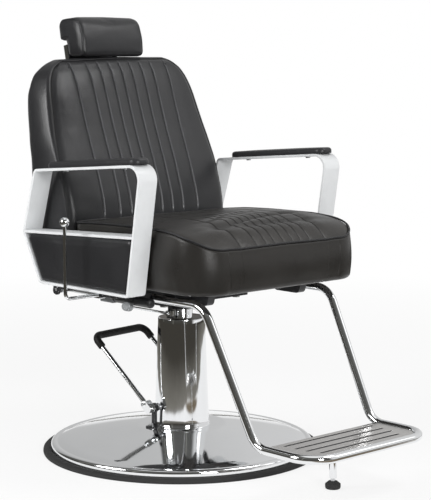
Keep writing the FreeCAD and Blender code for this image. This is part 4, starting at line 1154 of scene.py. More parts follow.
@dataclass
class Studio:
    """Floor, lamps, surroundings and the camera."""

    camera_place: Triple = (-2.3974, -2.7037, 0.9064)
    azimuth: float = -42.8
    tilt: float = 7.0
    lens: float = 114.6
    toward: tuple[float, float] = (-0.6635, -0.7483)
    floor_half: float = 7.0
    floor_shade: float = 0.8
    floor_tone: float = 0.965
    paper_centre_x: float = 0.6
    paper_r: float = 1.22
    paper_front: float = 0.86
    reflected_patch_ahead: float = 0.78
    reflected_patch_colour: Colour = (0.17, 0.135, 0.09)
    near_floor: Colour = (0.215, 0.205, 0.182)
    far_floor: Colour = (0.05, 0.046, 0.039)
    backdrop: Colour = (0.93, 0.93, 0.93)
    low_wall: Colour = (0.05, 0.048, 0.042)
    high_wall: Colour = (0.13, 0.13, 0.125)
    posts: tuple[float, ...] = (-98.0, -42.0, 22.0)
    post_colour: Colour = (1.0, 1.0, 0.88)
    daylight: Colour = (0.36, 0.36, 0.36)
    lamps: tuple[Lamp, ...] = (
        Lamp("key_lamp", (-1.3, -3.9, 1.6), (0.0, 0.0, 0.55), 1.0, 78.0),
        Lamp("left_lamp", (-3.0, 1.0, 1.9), (0.0, 0.0, 0.7), 1.4, 70.0),
        Lamp("right_lamp", (2.5, -2.1, 2.3), (0.0, 0.0, 0.6), 1.1, 4.0),
        Lamp("top_lamp", (1.2, -1.5, 3.0), (0.0, 0.0, 0.4), 1.1, 25.0))

    def build(self) -> None:
        """Builds all of it."""
        self.camera()
        self.floor()
        self.world()
        for lamp in self.lamps:
            lamp.build()

    def camera(self) -> None:
        """Camera where the photographer's stood."""
        data = bpy.data.cameras.new("camera")
        data.lens, data.sensor_width, data.sensor_fit, data.clip_end = self.lens, 36.0, "AUTO", 100.0
        turn = (math.radians(90 - self.tilt), 0.0, math.radians(self.azimuth))
        bpy.context.scene.camera = placed("camera", data, self.camera_place, turn)

    @staticmethod
    def rays(net: Net) -> tuple[Wire, Wire]:
        """Whether a ray comes from the camera, and whether it comes from a polished surface.

        Args:
            net: The node tree that asks.

        Returns:
            The two values, 0 or 1.
        """
        path = net.node("LightPath").outputs
        camera, clear, glossy = (Wire(net, path[f"Is {kind} Ray"]) for kind in ("Camera", "Transmission", "Glossy"))
        return (camera + clear).clamped(), glossy

    def floor(self) -> None:
        """White floor that keeps a soft shadow; polished metal sees where the round paper on it ends, and a brown patch
        ahead of the footrest, a painted reflection that nothing else sees.
        """
        h = self.floor_half
        mesh = Surface(np.array([(-h, -h, 0), (h, -h, 0), (h, h, 0), (-h, h, 0)]) / MM, [(0, 1, 2, 3)]).mesh("floor")
        paper = bpy.data.materials.new("studio_paper")
        net = Net(paper)
        seen, glossy = self.rays(net)
        x, y, _ = net.split(net.wire("NewGeometry", output="Position"))
        beside = x - self.paper_centre_x
        round_off = (beside * beside + y * y) ** 0.5 - self.paper_r
        past = net.maths("MAXIMUM", round_off, -1.0 * y - self.paper_front)
        off = (past + (net.grain(2.6) - 0.5) * 0.3) * 0.25
        bare = net.ramp(off, (0.0, 0.0), (0.012, 1.0))
        # Painted reflection: a brown patch ahead of the footrest that only polished metal sees.
        ahead = y + self.reflected_patch_ahead
        step = (x * x * 0.6 + ahead * ahead * 6.0) ** 0.5
        reflected_patch = net.ramp(step, (0.24, 1.0), (0.34, 0.0))
        room = net.blend(net.ramp(off, (0.0, 0.0), (0.3, 1.0)), self.near_floor, self.far_floor)
        far = net.ramp((x * x + y * y) ** 0.5 * 0.2, (0.2, 0.0), (0.6, 1.0))
        tone = net.grain(2.0) * 0.01 + self.floor_tone
        matt = net.wire("BsdfDiffuse", Color=net.blend(tone, BLACK, WHITE))
        shine = net.blend(glossy * reflected_patch, net.blend(glossy * bare, WHITE, room), self.reflected_patch_colour)
        glow = net.wire("Emission", Color=shine, Strength=1.0)
        lit, shade = self.floor_shade, 1 - self.floor_shade
        factor = seen * (lit + far * shade) + glossy * (lit + net.maths("MAXIMUM", bare, reflected_patch) * shade)
        net.node("OutputMaterial", Surface=net.wire("MixShader", i0=factor, i1=matt, i2=glow))
        mesh.materials.append(paper)
        placed("floor", mesh)

    def world(self) -> None:
        """White background, and for polished metal the room around the chair too."""
        scene = bpy.context.scene
        scene.view_settings.view_transform = "Standard"
        scene.world = scene.world or bpy.data.worlds.new("studio")
        net = Net(scene.world)
        seen, glossy = self.rays(net)
        x, y, z = net.split(net.wire("TexCoord", output="Generated"))
        a, b = self.toward
        front = x * a + y * b
        right = x * -b + y * a
        height = z * 0.5 + 0.5
        gloom = net.ramp((front * 0.77 - right * 0.64) * 0.5 + 0.5, (0.38, 0.0), (0.5, 1.0))
        bright = net.ramp(right * 0.5 + 0.5, (0.3, 0.45), (0.42, 0.52), (0.5, 0.56), (0.6, 0.66), (0.8, 0.74))
        wall = net.blend(bright, BLACK, WHITE)
        back = net.blend(net.ramp(height, (0.51, 1.0), (0.54, 0.0)), wall, self.backdrop)
        room = net.blend(net.ramp(height, (0.5, 0.0), (0.9, 1.0)), self.low_wall, self.high_wall)
        for bearing in self.posts:
            across = right * math.cos(math.radians(bearing)) - front * math.sin(math.radians(bearing))
            line = net.ramp(across + 0.5, (0.482, 0.0), (0.492, 1.0), (0.508, 1.0), (0.518, 0.0))
            room = net.blend(line * 0.3, room, self.post_colour)
        ceiling = net.ramp(height, (0.955, 0.0), (0.985, 1.0))
        shine = net.blend(ceiling, net.blend(gloom, back, room), WHITE)
        colour = net.blend(seen, net.blend(glossy, self.daylight, shine), WHITE)
        net.node("OutputWorld", Surface=net.wire("Background", Color=colour, Strength=1.0))


@dataclass
class SeatCushion:
    """Box seat with a piped, pleated top."""

    half: float = 244.0
    front: float = -335.0
    rear: float = 92.0
    front_corner: float = 70.0
    rear_corner: float = 30.0
    under_r: float = 10.0
    under_half_length: float = 213.0
    piping_set: float = 2.0
    piping_r: float = 2.3
    piping_out: float = 1.6
    face_r: float = 2.0
    seam_hold: float = 0.93
    swell_cap: float = 7.0
    strip_cap: float = 2.2
    flat_half: float = 118.0
    side_height: float = 120.0
    seams: tuple[float, ...] = (-127.0, -80.0, -52.0, -27.0, 0.0, 27.0, 52.0, 80.0, 127.0)
    heights: tuple[tuple[float, float, float], ...] = (
        (-12, 80, 84), (0, 91, 95), (11, 96, 105), (25, 103, 118), (42, 112, 129), (56, 118, 132), (64, 121, 132),
        (80, 124, 139), (110, 127, 144), (160, 130, 146), (260, 130, 143), (367, 128, 135), (435, 123, 125))
    crease: tuple[tuple[float, float], ...] = (
        (-240, 84), (-185, 80), (-130, 78), (-107, 80), (-34, 101), (67, 124), (123, 133), (240, 140))

    def corners(self) -> tuple[float, float, float]:
        """Length to the piping line at the rear, and the piping line's front and rear corner radii."""
        s = self.piping_set
        return self.rear - self.front - s, self.front_corner - s, self.rear_corner - s

    def edge_x(self, y: Array) -> Array:
        """Half width of the piping line.

        Args:
            y: Distances behind the front.

        Returns:
            The half widths.
        """
        length, r, q = self.corners()
        a = np.clip(self.piping_set + r - y, 0, r)
        b = np.clip(y - (length - q), 0, q)
        half = self.half - self.piping_set
        return half - (r - np.sqrt(r * r - a * a)) - (q - np.sqrt(np.maximum(q * q - b * b, 0)))

    def rows(self, count: int) -> Array:
        """Where the rows stand, closer together in the corners.

        Args:
            count: Rows between the corners.

        Returns:
            Distances behind the front.
        """
        length, r, q = self.corners()
        first = self.piping_set + r * (1 - np.cos(np.linspace(0, math.pi / 2, max(5, count // 5))))
        last = length - q + q * np.sin(np.linspace(0, math.pi / 2, max(4, count // 9)))
        return np.concatenate([first, np.linspace(first[-1], last[0], count)[1:-1], last])

    def top(self, x: Array, y: Array) -> Array:
        """Height of the padded top above the underside, before its seams.

        Args:
            x: Places across.
            y: Distances behind the front.

        Returns:
            The heights.
        """
        table = through(self.heights, y)
        side, middle = table[..., 0], table[..., 1] - 0.012 * np.abs(x)
        u = np.clip((np.abs(x) - self.flat_half) / (self.half + 12 - self.flat_half), 0, 1)
        rise = (middle - side) * 0.22 + 2
        return middle + (side - middle) * u + 4 * rise * u * (1 - u) * smooth(0, 0.25, u)

    def sewing(self, x: Array, y: Array) -> tuple[Array, Array]:
        """Depth of seams and creases, and the shade painted in them.

        Args:
            x: Places across.
            y: Distances behind the front.

        Returns:
            Depth in millimetres and painted shade from 0 to 1.
        """
        roll = smooth(0, 14, y) * (1 - smooth(46, 84, y))
        depth, shade = np.zeros_like(x), np.zeros_like(x)
        for seam in self.seams:
            depth += dent(x, seam, 1.5) * (0.9 + 0.5 * roll) + dent(x, seam, 7.0) * 0.7 * roll
            # Painted shade on the left flank of each seam.
            shade = np.maximum(shade, dent(x, seam - 0.4, 1.7) * (0.75 + 0.2 * roll))
        fade = smooth(-185, -110, x) * (1 - smooth(196, 236, x))
        place = through(self.crease, x)[..., 0]
        depth += fade * (4.2 * dent(y, place, 8) + 2.6 * dent(y, place, 20))
        depth -= fade * (1.8 * dent(y, place - 24, 13) + 1.2 * dent(y, place + 22, 12))
        depth += fade * 1.6 * dent(y, place * 1.9 - 25, 9)
        # Painted shade in the crease.
        shade = np.maximum(shade, fade * 0.3 * dent(y, place, 9))
        # Painted shade beside the piping, where the top dips to it.
        near = np.minimum(self.edge_x(y) - np.abs(x), np.minimum(y - self.piping_set, self.rear - self.front - y))
        near = np.maximum(near, 0)
        return depth + 2.4 * dent(near, 0, 4.0), np.maximum(shade, 0.9 * dent(near, 0, 1.6))

    def quilt(self, fine: bool) -> Quilt:
        """The cushion's shell.

        Args:
            fine: Whether it is for show, or coarse for the simulation.

        Returns:
            The shell, without seams and creases.
        """
        columns = Columns(self.seams, (1.1, 2.4, 4.4) if fine else (), 6.5 if fine else 13.0,
                          self.half - self.piping_set)
        ys = self.rows(66 if fine else 26)
        places = np.array([columns.places(float(edge)) for edge in self.edge_x(ys)])
        depth = np.repeat(ys[:, None], places.shape[1], 1)
        face = np.stack([places, self.front + depth, SEAT_Z + self.top(places, depth)], 2)
        r, middle = self.under_r, (self.front + self.rear) / 2
        under = middle + (face[..., 1] - middle) * (1 - (r + 1) / self.under_half_length)
        rear = np.stack([places * (1 - (r + 1) / self.half), under, np.full_like(places, SEAT_Z + 0.1)], 2)
        quilt = Quilt(face, rear, columns.places(columns.edge), ys, np.linspace(0, 1, 27 if fine else 11)[1:-1])
        quilt.box(np.array([0.0, 0.0, -1.0]), self.piping_out, self.face_r, r)
        return quilt

    def padded(self) -> Quilt:
        """Swells the padding.

        Returns:
            The shell for show.
        """
        coarse, fine = self.quilt(False), self.quilt(True)
        held = coarse.held(self.seams, self.seam_hold)
        fine.swell(coarse, held, np.full(held.shape, self.swell_cap), 2, self.strip_cap)
        return fine

    def build(self, shop: Workshop) -> None:
        """Makes the cushion, its piping and its stitching.

        Args:
            shop: Where they are made.
        """
        quilt = self.padded()
        x, y = quilt.face[..., 0], quilt.face[..., 1] - self.front
        edge = quilt.rim(quilt.face)
        depth, shade = self.sewing(x, y)
        quilt.face[..., 2] -= depth
        quilt.face[..., 2] += unevenness(quilt.face, 60.0, 3.0) * 0.7 + unevenness(quilt.face, 22.0, 9.0) * 0.25
        quilt.bulge(unevenness(quilt.strip, 75.0, 5.0) * 1.1 + 5.0 * smooth(150, 230, -quilt.strip[..., 1]))
        # Painted highlight along the front roll, just behind the piping.
        highlight_paint = smooth(0.15, 0.9, dent(y, 26, 26)) * 0.04
        # Painted shade on the side strip just under the piping.
        surface = quilt.marked(shade, highlight_paint, 0.95 * dent(quilt.depths * self.side_height, 0, 3.4))
        cushion = shop.piece("seat_cushion_cover", surface, WARM_TINT_LEATHER, Body.SEAT, ("seat_cushion",))
        path = edge + quilt.normals * 1.0 + np.array([0.0, 0.0, 0.6])
        shop.piece("seat_piping", tube(path, self.piping_r, 12, True), WELT, Body.SEAT)
        threads = quilt.stitched(self.seams, slice(6, -4), 1, (1.2, 0.0, 0.55), UP)
        shop.piece("seat_stitching", threads, DARK_THREAD, Body.SEAT)


@dataclass
class BackRest:
    """Backrest with sewn channels, a wide side strip and a panel on its rear."""

    bottom: float = 470.0
    shoulder: float = 850.0
    top: float = 897.5
    half: float = 234.8
    kink: float = 660.0
    lean: float = 12.0
    seams: tuple[float, ...] = (-142.0, -96.0, -63.0, -31.0, 0.0, 31.0, 63.0, 96.0, 142.0)
    sections: tuple[tuple[float, ...], ...] = (
        (470, 231.8, 106, 252, 22), (479, 237.8, 101, 256, 24), (540, 237.8, 103.5, 256, 24),
        (580, 237.8, 109.5, 256, 24), (620, 237.8, 121.5, 256, 24), (660, 237.3, 135.5, 257, 24),
        (700, 235.8, 151.5, 265, 24), (740, 232.8, 167, 273.5, 24), (780, 228.8, 181, 282, 24),
        (816, 223.8, 193, 286, 24), (850, 214.8, 205.5, 284, 22), (870, 204.8, 214.5, 277, 18),
        (884, 191.8, 224, 268, 12), (893, 177.8, 232, 260, 6), (898, 163.8, 239, 254, 4))
    seam_hold: float = 0.95
    middle_half: float = 140.0
    middle_cap: float = 2.4
    side_cap: float = 5.0
    strip_cap: float = 3.0
    face_r: float = 12.0
    rear_r: float = 24.0
    edge_set: float = 3.0
    edge_drop: float = 7.0
    edge_w: float = 26.0
    rear_low: float = 476.0
    rear_high: float = 871.0
    rear_flat_half: float = 112.0
    rear_side_w: float = 75.0
    rear_shoulder: float = 801.0
    rear_shoulder_h: float = 70.0
    side_width: float = 150.0
    cover_thick: float = 12.0
    cover_y0: float = 260.0
    cover_half: float = 215.8
    cover_bottom: float = 494.0
    cover_top: float = 816.0
    cover_shoulder_w: float = 32.0
    cover_shoulder_h: float = 95.0

    def section(self, z: Array) -> tuple[Array, Array, Array, Array]:
        """Half width, front, rear and rear corner radius at heights."""
        return tuple(np.moveaxis(through(self.sections, z), -1, 0))

    def edge_x(self, z: Array) -> tuple[Array, Array]:
        """Half width of the face at heights, and the share of their distance that the seams keep there."""
        half = self.section(z)[0] - self.edge_set - 8.0 * smooth(620, 800, z)
        return half, np.minimum(1.0, (half + 8.0 - 15.0) / 160.0)

    def panels(self, columns: Columns, zs: Array) -> tuple[Array, Array]:
        """Grids of the face and of the rear.

        Args:
            columns: Their columns.
            zs: Heights of the face's rows.

        Returns:
            Points of the face and of the rear.
        """
        _, front, back, _ = self.section(zs)
        half, scales = self.edge_x(zs)
        places = np.array([columns.places(h, float(s)) for h, s in zip(half, scales)])
        edge = half[:, None]
        t = np.clip((np.abs(places) - (edge - self.edge_w)) / self.edge_w, 0, 1)
        drop = self.edge_drop * np.clip((back - front - 10) / 60, 0.2, 1)[:, None]
        crown = 3.0 * (1 - (np.abs(places) / edge) ** 4)
        levels = np.repeat(zs[:, None], places.shape[1], 1)
        face = np.stack([places, front[:, None] - crown + drop * t * t, levels], 2)
        low, high = self.rear_low, self.rear_high
        rear_z = low + (high - low) * ((zs - zs[0]) / (zs[-1] - zs[0]))
        rear_half, _, rear_y, corner = self.section(rear_z)
        x = places / edge * (rear_half - corner * 0.95)[:, None]
        wide, tall = self.rear_side_w, self.rear_shoulder_h
        over = np.clip((np.abs(x) - self.rear_flat_half) / wide, 0, 1)
        up = np.clip((rear_z[:, None] - self.rear_shoulder) / tall, 0, 1)
        x -= np.sign(x) * wide * over * (1 - np.sqrt(1 - up ** 2 / 2))
        z = rear_z[:, None] - tall * up * (1 - np.sqrt(1 - over ** 2 / 2))
        y = np.repeat(rear_y[:, None], places.shape[1], 1) - 3.0 * self.under_cover(x, z)
        return face, np.stack([x, y, z], 2)

    def quilt(self, fine: bool) -> Quilt:
        """The backrest's shell.

        Args:
            fine: Whether it is for show, or coarse for the simulation.

        Returns:
            The shell, without its seams.
        """
        columns = Columns(self.seams, (1.0, 2.2, 3.6, 5.6) if fine else (), 6.5 if fine else 12.0, self.half)
        low = np.linspace(self.bottom, self.shoulder, 70 if fine else 28)[:-1]
        turn = np.sin(np.linspace(0, math.pi / 2, 20 if fine else 8))
        zs = np.concatenate([low, self.shoulder + (self.top - self.shoulder) * turn])
        quilt = Quilt(*self.panels(columns, zs), columns.places(self.half), zs,
                      np.linspace(0, 1, 31 if fine else 12)[1:-1])
        rim = quilt.rim(quilt.face)
        beside = (np.abs(rim[:, 0]) / rim[:, 0].max()) ** 6
        out = 2.6 + 8.0 * beside * smooth(600, 790, rim[:, 2]) * (1 - smooth(870, 897, rim[:, 2]))
        quilt.box(np.array([0.0, 1.0, 0.0]), out, self.face_r, self.rear_r)
        return quilt

    def under_cover(self, x: Array, z: Array) -> Array:
        """Where the rear panel lies over the cushion.

        Args:
            x: Places across.
            z: Heights.

        Returns:
            1 under the panel and 0 outside it, with a soft edge.
        """
        w = self.cover_half - self.cover_shoulder_w * smooth(self.cover_top - self.cover_shoulder_h, self.cover_top, z)
        return smooth(2, 12, np.minimum(w - np.abs(x), np.minimum(z - self.cover_bottom, self.cover_top - z)))

    def cover_y(self, z: Array) -> Array:
        """Outer face of the rear panel."""
        return self.cover_y0 + np.maximum(z - self.kink, 0) * math.tan(math.radians(self.lean))

    def padded(self) -> Quilt:
        """Swells the padding.

        Returns:
            The shell for show.
        """
        coarse, fine = self.quilt(False), self.quilt(True)
        caps = np.where(np.abs(coarse.face[..., 0]) < self.middle_half, self.middle_cap, self.side_cap)
        fine.swell(coarse, coarse.held(self.seams, self.seam_hold), caps, 1, self.strip_cap)
        return fine

    def sewing(self, x: Array, z: Array) -> tuple[Array, Array, Array]:
        """Depth of the seams over the face, with the shade and the highlight painted beside them.

        Args:
            x: Places across.
            z: Heights.

        Returns:
            Depth in millimetres, and painted shade and painted highlight from 0 to 1.
        """
        half, scale = self.edge_x(z)
        live = smooth(536, 556, z) * (1 - smooth(884, 897, z))
        depth, shade, highlight_paint = np.zeros_like(x), np.zeros_like(x), np.zeros_like(x)
        for seam in self.seams:
            off = x - seam * scale
            depth += live * (2.4 * dent(off, 0, 2.0) + 0.5 * dent(off, 0, 7.5) - 0.7 * dent(off, 4.4, 1.8))
            # Painted shade on the left flank of each seam.
            shade = np.maximum(shade, live * dent(off, -1.2, 1.8))
            # Painted highlight on the right flank of each seam, weaker towards the top.
            highlight_paint = np.maximum(highlight_paint, live * dent(off, 2.6, 1.2) * (0.55 + 0.45 * smooth(850, 760, z)))
        near = np.minimum(half - np.abs(x), self.top - z)
        rim = np.maximum(near, 0)
        depth += 3.4 * dent(rim, 0, 3.8) - 0.9 * dent(near, 9.0, 4.0)
        # Painted shade along the face's edge, beside the side strip.
        return depth, np.maximum(shade, 0.95 * dent(rim, 0, 3.2)), highlight_paint

    def build(self, shop: Workshop) -> None:
        """Makes the cushion with its seams, its stitching and the rear panel.

        Args:
            shop: Where they are made.
        """
        quilt = self.padded()
        z = quilt.face[..., 2]
        depth, shade, highlight_paint = self.sewing(quilt.face[..., 0], z)
        quilt.face[..., 1] += depth
        creases = unevenness(quilt.face * np.array([1.0, 1.0, 2.4]), 70.0, 2.0)
        creases *= 0.6 + 1.2 * (1 - smooth(540, 640, z))
        quilt.face[..., 1] += creases * 0.55 + unevenness(quilt.face, 24.0, 7.0) * 0.18
        full = 6.0 + 3.0 * smooth(640, 800, quilt.strip[..., 2])
        beside = np.clip(np.abs(quilt.normals[:, :1]) - 0.15, 0.05, 1)
        quilt.bulge(unevenness(quilt.strip, 80.0, 4.0) * 1.4 + full * beside)
        down = quilt.depths * self.side_width
        quilt.strip -= quilt.normals[:, None, :] * (1.2 * dent(down, 0, 3.5))[None, :, None]
        for part in (quilt.face, quilt.strip):
            part[..., 2] -= 6.0 * smooth(-40, 200, -part[..., 0]) * smooth(800, 890, part[..., 2])
        # Painted shade on the side strip beside the face's edge.
        surface = quilt.marked(shade, highlight_paint, 0.9 * dent(down, 0, 3.2))
        cushion = shop.piece("backrest_cover", surface, LEATHER, Body.BACK, ("back_cushion",))
        rows = (quilt.lines > 552) & (quilt.lines < 890)
        threads = quilt.stitched(self.seams, rows, 2, (0.2, -0.35, 0.0), (0.0, -0.97, 0.24))
        shop.piece("backrest_stitching", threads, THREAD, Body.BACK)
        self.rear_panel(shop)

    def rear_panel(self, shop: Workshop) -> None:
        """Makes the panel on the rear and its piping.

        Args:
            shop: Where they are made.
        """
        w, low, top = self.cover_half, self.cover_bottom, self.cover_top
        shoulder, in_x = top - self.cover_shoulder_h, w - self.cover_shoulder_w
        corners = [(-w, low), (w, low), (w, shoulder), (in_x, top), (-in_x, top), (-w, shoulder)]
        outline = divided(rounded(corners, [20, 20, 60, 30, 30, 60], True, 5.0), 9)
        deep = self.cover_thick
        layers = [(1.5, 2.0), (0.2, 4.5), (0.0, deep - 5), (1.0, deep - 2.4), (3.0, deep - 0.9), (6.0, deep - 0.2)]

        def crown(flat: Array, share: float) -> Array:
            """Swelling of the padded face."""
            return 2.6 * smooth(0, 0.35, share) - 0.6 * smooth(0.5, 1.0, share) + 0 * flat[:, 0]

        panel = pillow(outline, layers, crown, 26)
        p = panel.points
        y = self.cover_y(p[:, 2]) - deep + p[:, 0]
        flat = np.column_stack([p[:, 1:], np.full(len(p), 105.0)])
        y += 0.5 * unevenness(flat, 70.0) * smooth(8, 12, p[:, 0])
        panel.points = np.column_stack([p[:, 1], y, p[:, 2]])
        cover = shop.piece("backrest_rear_panel", panel.outward(), LEATHER, Body.BACK, ("back_cover",))
        welt = np.column_stack([outline[:, 0] * 0.997, self.cover_y(outline[:, 1]) - 2.8, outline[:, 1]])
        shop.piece("rear_panel_piping", tube(welt, 2.0, 10, True), WELT, Body.BACK)


@dataclass
class HeadRest:
    """Headrest cushion with a piped panel at each end."""

    half: float = 94.0
    end_bulge: float = 3.2
    profile: tuple[tuple[float, float], ...] = ((337, 990), (256, 996), (238, 945), (235, 900.5), (294, 901.5),
                                                (306, 938), (328, 938))
    radii: tuple[float, ...] = (18, 32, 80, 12, 7, 4, 6)
    middle: tuple[float, float] = (275.0, 952.0)
    around: int = 108
    cap_rings: int = 8
    flat_rear_y: float = 290.0
    flat_rear_z: float = 942.0
    under_z: float = 903.5
    pressure: float = 3.2
    swell_cap: float = 2.6
    piping_r: float = 1.9

    def outline(self, shrink: float) -> Array:
        """Side profile, drawn in by a distance.

        Args:
            shrink: The distance.

        Returns:
            Evenly spaced (y, z) points.
        """
        radii = [max(r - shrink * 0.4, 2.0) for r in self.radii]
        shape = rounded(inset(self.profile, [shrink] * len(radii)), radii)
        closed = np.vstack([shape, shape[:1]])
        total = lengths(closed)
        return read(closed, total, np.linspace(0, total[-1], self.around, endpoint=False))

    def shell(self) -> tuple[Surface, Array]:
        """The cushion before it swells.

        Returns:
            Its surface, and how firmly each point is held.
        """
        seam = self.half - 2.0
        turns = [(seam - 13 + 13 * math.sin(t), 1.0 + 9 * (1 - math.cos(t))) for t in np.linspace(1.35, 0.15, 6)]
        inner = [(x, 1.0) for x in np.linspace(14 - seam, seam - 14, 23)]
        levels = [(x, self.outline(s)) for x, s in [*[(-x, s) for x, s in turns], *inner, *turns[::-1]]]
        end_x, rim = turns[0][0], self.outline(turns[0][1])
        caps = []
        for k in range(1, self.cap_rings + 1):
            x = end_x + self.end_bulge * math.sin(math.pi / 2 * min(1.0, k / 5))
            caps.append((x, rim + (np.array(self.middle) - rim) * (k / (self.cap_rings + 1))))
        levels = [*[(-x, flat) for x, flat in caps[::-1]], *levels, *caps]
        full = np.array([np.column_stack([np.full(self.around, x), flat]) for x, flat in levels])
        held = np.zeros(full.shape[:2])
        held[:self.cap_rings + 1] = held[-self.cap_rings - 1:] = 1
        held[(full[..., 1] > self.flat_rear_y) & (full[..., 2] < self.flat_rear_z)] = 1
        under = full[..., 2] < self.under_z
        held[under] = np.maximum(held[under], 0.5)
        return rings(full), held.ravel()

    def build(self, shop: Workshop) -> None:
        """Makes the cushion and its piping.

        Args:
            shop: Where they are made.
        """
        surface, held = self.shell()
        surface.points = surface.points + swollen(surface, held, self.pressure, np.full(len(held), self.swell_cap))
        surface.points[:, 0] += 0.4 * unevenness(surface.points, 40.0)
        # Painted shade along the seams of the end panels, beside their piping.
        surface.marks["seam"] = 0.5 * dent(np.abs(np.abs(surface.points[:, 0]) - (self.half - 5.6)), 0, 1.0)
        cushion = shop.piece("headrest_cover", surface, LEATHER, Body.HEADREST, ("headrest_cushion",))
        rim = self.outline(4.6)
        for side in Side:
            path = np.column_stack([np.full(len(rim), side.value * (self.half - 5.0)), rim])
            welt = tube(path, self.piping_r, 12, True)
            shop.piece(f"headrest_piping_{side.name.lower()}", welt, LEATHER, Body.HEADREST)


@dataclass
class Arm:
    """Flat-bar arm with a middle bar, a pad on top and a padded panel below."""

    side: Side
    corners: tuple[tuple[float, float], ...] = ((-216, 282), (-170, 0), (136, 0), (196, 112), (152, 254))
    radii: tuple[float, ...] = (32, 9, 11, 4, 14)
    inner_x: float = 252.0
    width: float = 50.0
    thick: float = 6.0
    middle_h: float = 128.0
    pad_length: float = 308.0
    pad_set: float = 20.0
    pad_w: float = 46.0
    pad_t: float = 14.0
    pad_corner: float = 18.0
    panel_corner: float = 12.0
    panel_gap: float = 0.6

    def outline(self) -> list[tuple[float, float]]:
        """Outer corners of the band."""
        return [(y, ARM_Z + h) for y, h in self.corners]

    def middle_front(self) -> tuple[float, float]:
        """Where the middle bar meets the front leg.

        Returns:
            Its (y, z) point.
        """
        (top_y, top_h), (low_y, _) = self.corners[:2]
        return low_y + (top_y - low_y) * (self.middle_h / top_h), ARM_Z + self.middle_h

    def place(self, surface: Surface) -> Surface:
        """A surface made for the left arm, on this side."""
        return surface if self.side is Side.LEFT else surface.mirrored()

    def build(self, shop: Workshop) -> None:
        """Makes the band, the pad and the panel.

        Args:
            shop: Where they are made.
        """
        name = self.side.name.lower()
        x0, x1, t = self.inner_x, self.inner_x + self.width, self.thick
        line = inset(self.outline(), [t / 2] * len(self.corners))
        loop = rounded(line, [r - t / 2 if r > t / 2 else 1.2 for r in self.radii], True, 4.0)
        start, end = np.array(self.middle_front()), np.array(self.outline()[3])
        ahead = unit(end - start)
        middle = np.array([start + ahead * 2.5, (start + end) / 2, end - ahead * 5.0])
        band = Surface.together([flat_bar(loop, x0, x1, t, True), flat_bar(middle, x0 + 0.05, x1 - 0.05, t, False)])
        shop.piece(f"arm_band_{name}", self.place(band), ARM_PAINT, Body.SEAT, (f"arm_loop_{name}",), 40)
        self.pad(shop, name)
        self.panel(shop, name)

    def pad(self, shop: Workshop, name: str) -> None:
        """Makes the arm pad.

        Args:
            shop: Where it is made.
            name: The side's name.
        """
        h, t = self.pad_w / 2, self.pad_t
        outline = divided(rectangle((0, -h), (self.pad_length, h), [self.pad_corner] * 4), 10)
        layers = [(0.9, 0.25), (0.2, 1.0), (0.0, 3.0), (0.0, t - 7.0), (0.6, t - 4.6), (2.0, t - 2.4), (4.6, t - 0.9),
                  (8.0, t - 0.1)]

        def crown(flat: Array, share: float) -> Array:
            """Swelling of the pad's top."""
            return 1.1 * math.sin(math.pi / 2 * min(1.0, share * 1.6)) + 0 * flat[:, 0]

        pad = pillow(outline, layers, crown, 8)
        up, along, across = pad.points.T
        along = along + self.pad_set
        (front_y, front_h), (rear_y, rear_h) = self.corners[0], self.corners[4]
        a = math.atan2(front_h - rear_h, rear_y - front_y)
        y = front_y + along * math.cos(a) + up * math.sin(a)
        z = ARM_Z + front_h - along * math.sin(a) + up * math.cos(a)
        pad.points = np.column_stack([self.inner_x + self.width / 2 + across, y, z])
        pad = self.place(pad.outward())
        made = shop.piece(f"arm_rest_{name}", pad, PAD_PLASTIC, Body.SEAT, (f"arm_pad_{name}",))

    def panel(self, shop: Workshop, name: str) -> None:
        """Makes the padded side panel.

        Args:
            shop: Where it is made.
            name: The side's name.
        """
        _, front, rear, middle, _ = self.outline()
        t = self.thick + self.panel_gap
        window = inset([self.middle_front(), front, rear, middle], (t, t, t, self.thick / 2 + self.panel_gap))
        outline = divided(rounded(window, [self.panel_corner] * 4), 8)
        x0, x1 = self.inner_x + 6.0, self.inner_x + self.width - 2.0
        layers = [(8.0, x0 + 0.2), (4.0, x0 + 1.0), (1.2, x0 + 3.6), (0.0, x0 + 8.0), (0.0, x1 - 9.0), (0.8, x1 - 5.0),
                  (2.6, x1 - 2.4), (5.4, x1 - 0.8), (9.0, x1)]

        def crown(flat: Array, share: float) -> Array:
            """Swelling of the face with a soft upright fold.

            Args:
                flat: (y, z) points of a ring.
                share: Its share of the way to the middle.

            Returns:
                What the points rise by.
            """
            fold = 1.5 * dent(flat[:, 0] - 0.35 * (flat[:, 1] - 460), 62.0, 16.0)
            notch = 2.4 * dent(flat[:, 0], 6.0, 11.0) * smooth(505, 522, flat[:, 1])
            return 1.4 * smooth(0, 0.3, share) + (fold - notch) * smooth(0, 0.22, share)

        panel = pillow(outline, layers, crown, 20)
        uneven = unevenness(panel.points * (0.0, 1.0, 1.0), 45.0)
        panel.points[:, 0] += 0.5 * uneven * smooth(x1 - 4, x1, panel.points[:, 0])
        made = shop.piece(f"arm_side_panel_{name}", self.place(panel), LEATHER, Body.SEAT, (f"arm_panel_{name}",))


